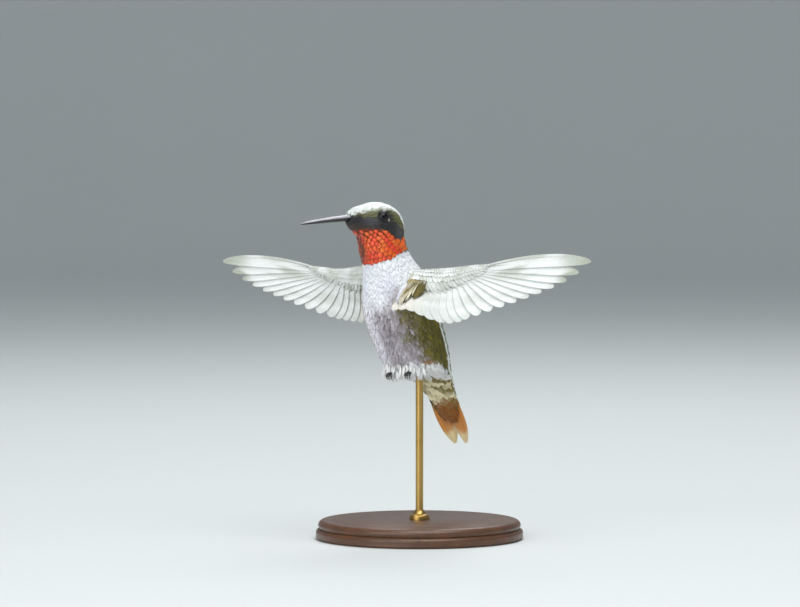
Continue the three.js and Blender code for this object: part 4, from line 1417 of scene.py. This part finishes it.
def covert(u, at, length, width, face):
    middle, high, _ = arm_section(u)
    v = middle + at * high
    heading = math.radians(mix(18, 62, min(1, max(0, u / 17))) + rng.normal(0, 4))
    tip = (u + length * math.sin(heading), v + length * math.cos(heading))
    half_way = ((u + tip[0]) / 2, (v + tip[1]) / 2)
    over = [arm_height(u, v), arm_height(*half_way) + 0.16, arm_height(*tip) + 0.24]
    over[1] = 2 * over[1] - (over[0] + over[2]) / 2
    return {"root": (u, v), "tip": tip, "bow": 0, "half": width / 2, "levels": [face * n for n in over],
            "tilt": 0.02, "thick": 0.03, "face": face, "cup": 0.12, "rank": at}


def covert_colour(side, face):
    """Olive gold and buff in the lining near the body, pale grey out along it, and green grey above."""
    def colour(blade, u, v, along, across, shaft):
        at = np.full(len(u), blade["root"][0])
        key = np.stack([at, at * 0 + blade["root"][1] * 1.7, at * 0 + side], -1)
        patch = ripple(key, 2.2, 31)
        inner = 1 - smoothstep(at + patch, 0.5, 4.0)
        if face < 0:
            inner = inner * smoothstep(blade["rank"] + 0.2 * patch, -0.45, 0.1)
            near = tint(LINING_GOLD, LINING_BUFF, 0.15 + 0.5 * patch)
            # Out along the lining the pale grey is painted light too, as on the flight feathers.
            far = tint(WING_LIT_PALE, WING_TIP, 0.3 + 0.3 * patch)
        else:
            near = tint(UPPER_GREEN, BACK_BRONZE, 0.4 + 0.5 * patch)
            far = tint(WING_SHADE, WING_TIP, 0.5 + 0.4 * patch)
        ground = mix(far, near, inner[:, None])
        return ground, mix(ground, WING_LIT_PALE, 0.45)
    return colour


def covert_unwrap(blades, made, shift):
    """Each covert's patch lies at its root's place on the plan of the arm."""
    roots = np.array([blade["root"] for blade in blades])
    spot = np.stack([(roots[:, 0] + 6) / 30, (roots[:, 1] + 4) / 14 * 0.45 + shift], -1)
    return unwrap_patches(spot, made, len(blades))


for name, pose in WING_POSE.items():
    put = partial(on_wing, pose)
    for face, side_name in ((-1, "lining"), (1, "coverts")):
        blades = []
        for row, (at, length, width) in enumerate(COVERT_ROWS):
            for u in np.arange(ARM_FROM + 0.3 * (row % 2), ARM_TO - 0.7 * row, width * COVERT_STEP):
                fade = mix(1.0, 0.66, min(1, max(0, u / 19)))
                long = 1 + rng.normal(0, 0.06)
                blades.append(covert(u, at, length * fade * long, width * fade, face))
        thing = vanes_mesh("wing_%s_%s" % (side_name, name), blades, put, covert_colour(pose["side"], face),
                           widen=np.ones_like, made=COVERT_VANE, with_shaft=False)
        set_uv(thing, "OFBake", covert_unwrap(blades, COVERT_VANE, 0.02 if face < 0 else 0.52))
        finish_piece(thing, SOFT)
        print(len(blades), "coverts")


# %% [markdown]
# ### Axillars
# In the armpit long narrow feathers lie across the roots of the inner flight feathers. They close the gap
# between wing and body. Olive ones lie under, and buff ones with cream edges over them.


# %% Feathers of the armpit
UNDER_FAN, OVER_FAN = 24, 30
AXILLAR_OLIVE, AXILLAR_GOLD, AXILLAR_BUFF = map(paint, ("4d4716", "8a7a30", "efe6c6"))


def axillar(t, half, level, start=0.0):
    """A blade of the fan from the wing (t is 0) to the body (t is 1), hung below the arm by level.

    It begins at the share start of the way from the arm to the tips of the fan.
    """
    reach = rng.uniform(0.7, 1.0)
    root = np.array([mix(3.3, -1.0, t), mix(4.4, 2.8, t)]) + rng.normal(0, 0.25, 2)
    tip = np.array([np.interp(t, (0, 0.4, 1), row) for row in ((1.4, -2.0, -3.8), (11.0, 14.8, 13.0))])
    levels = mix(-2.2, -1.4, start) - level, -1.7 - level, mix(-1.9, -0.25, reach) - level
    return {"root": mix(root, tip, start), "tip": mix(root, tip, reach), "bow": 0.04, "half": half,
            "levels": levels, "tilt": 0.05, "thick": 0.03, "face": -1, "rank": t, "shaft": 0.05, "outer": 0}


def axillar_colour(pale):
    def colour(blade, u, v, along, across, shaft):
        mottle = ripple(np.stack([u, v, 0 * u + 5 * blade["rank"]], -1), 1.6, 51)
        if pale:
            ground = tint(AXILLAR_BUFF, AXILLAR_GOLD, 0.2 + 0.6 * mottle - 0.4 * (along - 0.5))
            return ground, mix(ground, WING_LIT_PALE, 0.6)
        ground = tint(AXILLAR_OLIVE, AXILLAR_GOLD, 0.35 + 0.6 * mottle)
        ground = tint(ground, BREAST_SHADE_LAVENDER, smoothstep(blade["rank"] + 0.15 * mottle, 0.45, 0.8))
        return ground, ground * 1.1
    return colour


for name, pose in WING_POSE.items():
    put = partial(on_wing, pose)
    under_fan = [axillar(t, 0.8, 0.0) for t in np.linspace(0, 1, UNDER_FAN)]
    over_fan = [axillar(t, rng.uniform(0.07, 0.15), 0.16, rng.uniform(0.1, 0.5))
                for t in np.linspace(0.2, 0.85, OVER_FAN)]
    for layer, fan, made in (("under", under_fan, VANES["tuft"]), ("over", over_fan, COVERT_VANE)):
        colour_of = axillar_colour(layer == "over")
        piece = vanes_mesh("axillars_%s_%s" % (layer, name), fan, put, colour_of, made=made)
        finish_piece(piece, SOFT)


# %% [markdown]
# ## Tail
# Ten feathers make the fan: rusty, with an orange edge and a cream tip. The rust and orange are partly painted
# light, warm light reflected on darker feathers, and the cream tip is the painted glow of light through them.
# They are vanes on a plan too, set in the frame of the tail, with the middle pair on top.


# %% Tail feathers
RECTRICES = 5
TAIL_RUST, TAIL_BROWN, TAIL_OLIVE = map(paint, ("9a5118", "633a14", "6d6430"))
TAIL_ORANGE_GLOW, TAIL_CREAM_GLOW = map(paint, ("e2913c", "ffe8b4"))


def tail_blade(side, i):
    t = i / (RECTRICES - 1)
    length = mix(17.2, 20.6, t**0.6)
    root = (side * mix(0.5, 1.6, t), 0)
    tip = (side * mix(0.6, 1.5, t), -length)
    bow = side * mix(0.3, 2.3, t) / length
    level = 0.55 - 0.13 * (i * 2 + (side < 0)) * 0.5
    return {"root": root, "tip": tip, "bow": bow, "half": 1.75, "levels": (level, level + 0.1, level),
            "tilt": 0.05 * side, "thick": 0.05, "shaft": 0.14, "outer": 0.25 * side, "rank": side * (i + 1)}


def tail_colour(blade, u, v, along, across, shaft):
    if shaft:
        rows = np.repeat(mix(TAIL_BROWN, TAIL_RUST, 0.5)[None], len(u), 0)
        return rows, rows
    wander = ripple(np.stack([u * 1.5, v, 0 * u + blade["rank"] * 3], -1), 2.6, 41)
    outer = smoothstep(np.abs(u + 0.2 * wander), 1.9, 3.1)
    # Painted light: rust and orange stand partly for warm light reflected on darker feathers, and the cream
    # tips for light glowing through them.
    ground = tint(TAIL_RUST, TAIL_BROWN, 0.35 + 0.5 * wander)
    ground = tint(ground, TAIL_ORANGE_GLOW, outer * 0.9)
    ground = tint(ground, TAIL_ORANGE_GLOW, 0.9 * smoothstep(along + 0.03 * wander, 0.62, 0.74))
    ground = tint(ground, TAIL_CREAM_GLOW, smoothstep(along + 0.03 * wander, 0.76, 0.86))
    ground = tint(TAIL_OLIVE, ground, smoothstep(along + 0.04 * wander, 0.32, 0.52))
    return ground, mix(ground, TAIL_CREAM_GLOW, 0.35)


def put_tail(u, v, n):
    return apply_matrix(TAIL_FRAME, np.stack([u, n, v], -1))


TAIL = feather_material("tail_plumage", 0.42, sheen=0.15, coat=0.15, fringe=0.5, barbs=130, depth=0.4,
                        dark_root=0.1)
blades = [tail_blade(side, i) for side in (1, -1) for i in range(RECTRICES)]
tail = vanes_mesh("tail_fan", blades, put_tail, tail_colour)
finish_piece(tail, TAIL, ["tail"])


# %% [markdown]
# ## Bill
# The bill is two long horny sheaths that close on each other. Each half starts as one ball: its rings move out
# along the bill's gentle curve, its upper side is drawn up to the ridge and its lower side is left flat, where
# the two halves meet.


# %% Two halves of the bill
BILL_ROOT = Vector((0, -7.9, 1.5))
BILL_LENGTH = 15.5  # with the part under the feathers
BILL_CURVE = 0.5
BILL_FRAME = HEAD_FRAME @ Matrix.Translation(BILL_ROOT) @ Matrix.Rotation(math.radians(3.2), 4, "X")
NOSTRIL = (0.10, 0.55)  # share of the length, height on the section's side
BILL_HALF_WIDTH, BILL_HALF_HEIGHT = 0.95, 0.74
LOWER_SHARE = 0.93  # width of the lower half against the upper
HORN_DARK, HORN_HIGHLIGHT = map(paint, ("1f1d20", "b3b2ba"))


def bill_half(name, up, share_of_length):
    """up is 1 for the upper half and -1 for the lower."""
    form, share, angle = ball(name, 28, 72)
    t = np.clip(share, 0, 1) ** 1.15
    girth = np.where((share > 0.001) & (share < 0.999), 1.0, 0.0)
    taper = (1 - t) ** 0.7 * 0.7 + 0.3
    point = np.sqrt(np.clip(1 - t**8, 0, 1)) + 0.12 * t**8
    sine = np.sin(angle)
    ridge = 1 + 0.16 * np.exp(-(((np.abs(angle - math.pi / 2)) / 0.32) ** 2))
    high = np.where(sine > 0, sine * ridge, 0.12 * sine)
    groove = np.exp(-(((t - NOSTRIL[0]) / 0.06) ** 2) - ((high - NOSTRIL[1]) / 0.16) ** 2) * (up > 0)
    side = np.cos(angle) * (1 - 0.14 * groove)
    half = BILL_HALF_WIDTH * taper * point * girth * (1.0 if up > 0 else LOWER_SHARE)
    height = BILL_HALF_HEIGHT * taper * point * girth
    sag = -BILL_CURVE * (t * share_of_length) ** 2
    level = sag + up * (0.03 + height * high)
    places = np.stack([half * side, -t * BILL_LENGTH * share_of_length, level], -1)
    set_vertex_places(form, apply_matrix(BILL_FRAME, places) * MM)
    # Painted highlight: the upper half is paler on its top and ridge, as if lit from above, less so near the
    # tip.
    worn = smoothstep(high, -0.1, 0.55) * (up > 0) * (1 - 0.5 * smoothstep(t, 0.85, 1.0))
    set_colours(form, "ground", mix(HORN_DARK, HORN_HIGHLIGHT, worn[:, None]))
    outwards(form)
    smooth(form, 50)
    return form


def horn_material():
    """Dark horn with a painted highlight along the ridge, from the stored colours, and fine grooves along its
    length.
    """
    values = {"Roughness": 0.36, "Coat Weight": 0.4, "Coat Roughness": 0.28}
    material, shader = new_material("bill_horn", values)
    grain = noise_texture(material, 6000, 3, stretched(material, (1, 0.08, 1), 22))
    tone = blend_colours(material, noise_texture(material, 500, 2), paint("b4b0b0"), paint("ffffff"))
    tone = blend_colours(material, 1.0, stored_colour(material, "ground"), tone, "MULTIPLY")
    return dressed(material, shader, tone, grain, 0.3, 0.00003)


HORN = horn_material()
finish_piece(bill_half("bill_upper_sheath", 1, 1.0), HORN, ["bill_upper"])
finish_piece(bill_half("bill_lower_sheath", -1, 0.975), HORN, ["bill_lower"])


# %% [markdown]
# ## Eyes
# A hummingbird's eye is a dark glossy ball, of which only a small disc shows between lids of bare dark skin.
# The ball keeps its real depth in the head. The lid is a torus laid where the ball leaves the skin, pressed
# into the slight oval of the real opening.


# %% Eyeballs and lids
LID_DEPTH = 1.22  # from the middle of the eye to the plane of the lids
LID_RADIUS = 0.12
LID_OVAL, LID_FLAT = 0.95, 0.8  # height of the opening against its width, and the lid pressed flatter


def eye_frame(side):
    """A frame at the middle of an eye whose Z axis looks out of the head."""
    gaze = (HEAD_FRAME.to_3x3() @ Vector((side * GAZE[0], GAZE[1], GAZE[2]))).normalized()
    centre = HEAD_FRAME @ Vector((side * EYE_CENTRE[0], EYE_CENTRE[1], EYE_CENTRE[2]))
    return Matrix.Translation(centre) @ gaze.to_track_quat("Z", "Y").to_matrix().to_4x4()


def eye_material():
    """Almost black, with a very dark brown iris, under a clear wet front."""
    material, shader = new_material("eye_glass", {"Roughness": 0.05, "IOR": 1.36})
    feed(material, shader.inputs["Base Color"], stored_colour(material, "ground"))
    return material


def lid_material():
    material, shader = new_material("lid_skin", {"Roughness": 0.68})
    grain = noise_texture(material, 5200, 3)
    tone = blend_colours(material, grain, paint("0b0a0d"), paint("211f23"))
    return dressed(material, shader, tone, grain, 0.6, 0.00006)


# The faint blue of pupil and iris is a painted reflection of the bluish light round the bird; the eye itself is
# black.
PUPIL, IRIS = map(paint, ("04050b", "110f16"))
EYE = eye_material()
LID = lid_material()
for name, side in (("left", 1), ("right", -1)):
    eyeball, share, angle = ball("eyeball_" + name, 40, 30)
    places = vertex_places(eyeball)
    off_axis = np.degrees(np.arccos(np.clip(places[:, 2], -1, 1)))
    bulge = 1 + 0.02 * (1 - smoothstep(off_axis, 5, 45))
    set_colours(eyeball, "ground", tint(PUPIL, IRIS, smoothstep(off_axis, 20, 26)))
    set_vertex_places(eyeball, apply_matrix(eye_frame(side), places * EYE_RADIUS * bulge[:, None]) * MM)
    smooth(eyeball)
    finish_piece(eyeball, EYE, ["eye_" + name])

    clear_selection()
    opening = math.sqrt(EYE_RADIUS**2 - LID_DEPTH**2)
    bpy.ops.mesh.primitive_torus_add(major_radius=opening, minor_radius=LID_RADIUS, major_segments=48,
                                     minor_segments=12)
    lid = added("lid_" + name)
    places = vertex_places(lid)
    round_eye = np.arctan2(places[:, 1], places[:, 0])
    wrinkle = 0.02 * np.sin(23 * round_eye) + 0.015 * np.sin(9 * round_eye + 1)
    places[:, 1] *= LID_OVAL
    places[:, 2] = places[:, 2] * LID_FLAT + LID_DEPTH + wrinkle
    set_vertex_places(lid, apply_matrix(eye_frame(side), places) * MM)
    smooth(lid)
    finish_piece(lid, LID)


# %% [markdown]
# ## Feet
# The feet are tiny and clenched: three toes forward and one back, each sheathed in rings of scales and ending
# in a sharp curved claw. Every toe starts as a ball whose rings follow the curl of the toe, and small swellings
# along it make the scales.


# %% Toes and claws
ANKLES = {"left": np.array([3.4, -9.5, 1.9]), "right": np.array([-2.3, -9.5, 1.9])}
HIP = np.array([2.9, -7.6, 3.9])
FRONT_TOES = {"headings": (-26, 0, 26), "length": 3.1, "curl": 150}
HIND_TOE = {"headings": (180,), "length": 1.9, "curl": 60}
TOE_RISE = 20
CLAW_FROM = 0.66  # share of the toe where the claw begins
TOE_RADIUS, CLAW_RADIUS, SHANK_RADIUS, KNUCKLE_RADIUS = 0.25, 0.17, 0.3, 0.44


def toe_line(start, heading, length, curl, steps=5):
    points = [start]
    for i in range(steps):
        pitch = math.radians(TOE_RISE - curl * i / (steps - 1))
        turn = math.radians(heading)
        flat = math.cos(pitch)
        forward = np.array([math.sin(turn) * flat, -math.cos(turn) * flat, math.sin(pitch)])
        points.append(points[-1] + forward * length / steps)
    return points


def tube_from(name, line, radius_of, segments=12, rings=40):
    """A ball drawn out along a line, with a radius for each share of the length."""
    form, share, angle = ball(name, segments, rings)
    centre = through(line, share)
    ahead = unit(through(line, np.clip(share + 0.02, 0, 1)) - through(line, np.clip(share - 0.02, 0, 1)))
    beside = unit(np.cross(ahead, np.array([0.3, 0.1, 1.0])))
    over = np.cross(beside, ahead)
    radius = radius_of(share, angle) * (share > 0.001) * (share < 0.999)
    places = centre + (beside * np.cos(angle)[:, None] + over * np.sin(angle)[:, None]) * radius[:, None]
    set_vertex_places(form, apply_matrix(BODY_FRAME, places) * MM)
    outwards(form)
    smooth(form, 60)
    return form


def toe_radius(share, angle):
    """Pads and rings of scales, then a claw that tapers to a point."""
    scales = 0.035 * np.abs(np.sin(share * 9 * math.pi)) ** 0.6
    flesh = TOE_RADIUS + scales + 0.03 * np.sin(angle) * np.sin(share * 14)
    claw = CLAW_RADIUS * ((1 - share) / (1 - CLAW_FROM)).clip(0) ** 0.8
    return np.where(share < CLAW_FROM, flesh, claw + 0.012)


def shank_radius(share, angle):
    return SHANK_RADIUS + 0.03 * np.abs(np.sin(share * 6 * math.pi))


def foot_material():
    """Black scaled skin with a slight gloss."""
    values = {"Roughness": 0.3, "Coat Weight": 0.35, "Coat Roughness": 0.2}
    material, shader = new_material("foot_skin", values)
    cells = add_node(material, "TexVoronoi", {"Scale": 5200, "Vector": object_place(material)})
    cells = cells.outputs["Distance"]
    tone = blend_colours(material, cells, paint("100f10"), paint("38332f"))
    return dressed(material, shader, tone, cells, 0.5, 0.00005)


FOOT = foot_material()
for name, side in (("left", 1), ("right", -1)):
    ankle = ANKLES[name]
    hip = HIP * np.array([side, 1, 1])
    pieces = []
    for kind in (FRONT_TOES, HIND_TOE):
        for heading in kind["headings"]:
            line = toe_line(ankle, heading, kind["length"], kind["curl"])
            pieces.append(tube_from("toe", line, toe_radius))
    pieces.append(tube_from("shank", [hip, (hip + ankle) / 2, ankle], shank_radius))
    knuckle, share, angle = ball("knuckle", 16, 12)
    set_vertex_places(knuckle, apply_matrix(BODY_FRAME, vertex_places(knuckle) * KNUCKLE_RADIUS + ankle) * MM)
    smooth(knuckle)
    pieces.append(knuckle)
    finish_piece(joined("claws_" + name, pieces), FOOT, ["foot_" + name])


# %% [markdown]
# ## Stand
# The stand is a turned walnut base with a brass rod, as a museum would use. Turning is what the spin operator
# does: half a profile is drawn once and spun round the axis.


# %% Turning
def turned(name, profile, steps=96):
    """Spins a profile of (radius, height) in millimetres once round the Z axis. It starts and ends on it."""
    mesh = bpy.data.meshes.new(name)
    edges = [(i, i + 1) for i in range(len(profile) - 1)]
    mesh.from_pydata([(r * MM, 0, z * MM) for r, z in profile], edges, [])
    thing = placed(name, mesh)
    all_round = {"steps": steps, "angle": 2 * math.pi, "center": (0, 0, 0), "axis": (0, 0, 1)}
    edit_all(thing, (bpy.ops.mesh.spin, all_round), (bpy.ops.mesh.remove_doubles, {"threshold": 1e-7}),
             (bpy.ops.mesh.normals_make_consistent, {"inside": False}))
    smooth(thing, 35)
    return thing


def arc(centre, radius, start, end, steps=6):
    """Points of a rounded edge, from one angle to another in degrees."""
    angles = np.radians(np.linspace(start, end, steps + 1))
    return [(centre[0] + radius * math.cos(a), centre[1] + radius * math.sin(a)) for a in angles]


base_profile = [(0, 0), (26.4, 0), (27, 0.6)]
base_profile += arc((26.0, 1.7), 1.0, -20, 90, 6)
base_profile += arc((24.9, 3.5), 1.5, 0, 90, 8)
base_profile += [(23.6, 4.86), (22.9, 4.8), (22.4, 5.0), (3.4, 5.0), (0, 5.0)]
base = turned("stand_turned_base", base_profile)

rod_profile = [(0, 5.02), (2.6, 5.02), (2.6, 5.9)] + arc((2.2, 5.9), 0.4, 0, 80, 4)
rod_profile += [(1.75, 6.5), (1.5, 7.1), (1.2, 7.5), (1.0, 7.6), (1.0, 46.3), (0.7, 46.7), (0, 46.7)]
rod = turned("stand_turned_rod", rod_profile, 48)
print("base", [round(v / MM, 1) for v in base.dimensions], "rod", [round(v / MM, 1) for v in rod.dimensions])


# %% Walnut and brass
def walnut_material():
    """Long grain that runs across the disc, with darker pores and an oiled gloss."""
    material, shader = new_material("oiled_walnut", {"Coat Weight": 0.25, "Coat Roughness": 0.22})
    calc = partial(sum_node, material)
    along_grain = stretched(material, (1, 7, 7), 12)
    figure = noise_texture(material, 60, 6, along_grain)
    pores = noise_texture(material, 420, 4, along_grain)
    rings = calc("FRACT", calc("MULTIPLY", figure, 7.0))
    dark, middling, light = map(paint, ("2c1a10", "4f311e", "75492b"))
    tone = blend_colours(material, figure, dark, light)
    tone = blend_colours(material, calc("MULTIPLY", rings, 0.45), tone, middling)
    specks = calc("GREATER_THAN", pores, 0.62)
    tone = blend_colours(material, calc("MULTIPLY", specks, 0.55), tone, dark)
    feed(material, shader.inputs["Roughness"], calc("MULTIPLY_ADD", pores, 0.25, 0.3))
    return dressed(material, shader, tone, pores, 0.35, 0.0001)


def brass_material():
    """Satin brass with fine turning marks round the rod."""
    material, shader = new_material("satin_brass", {"Metallic": 1.0})
    marks = noise_texture(material, 120, 3, stretched(material, (0.2, 0.2, 60)))
    cloud = noise_texture(material, 260, 3)
    tone = blend_colours(material, cloud, paint("a88747"), paint("c9a868"))
    feed(material, shader.inputs["Roughness"], sum_node(material, "MULTIPLY_ADD", cloud, 0.2, 0.22))
    return dressed(material, shader, tone, marks, 0.2, 0.00003)


finish_piece(base, walnut_material(), ["stand_base"])
finish_piece(rod, brass_material(), ["stand_rod"])


# %% [markdown]
# ## Floor and backdrop
# The model stands on a plain pale floor that curves up into a wall far behind it, so no horizon cuts the view.


# %% A sweep all round
FLOOR_RADIUS, SWEEP, WALL = 1500, 900, 3200
sweep_profile = [(0, 0), (300, 0), (FLOOR_RADIUS, 0)] + arc((FLOOR_RADIUS, SWEEP), SWEEP, -84, 0, 16)
sweep_profile.append((FLOOR_RADIUS + SWEEP, WALL))
floor = turned("floor", sweep_profile, 64)
edit_all(floor, (bpy.ops.mesh.flip_normals, {}))
paper, paper_shader = new_material("pale_paper", {"Roughness": 0.9})
tone = blend_colours(paper, noise_texture(paper, 3.0, 2), (0.60, 0.63, 0.63), (0.63, 0.66, 0.66))
feed(paper, paper_shader.inputs["Base Color"], tone)
floor.data.materials.append(paper)
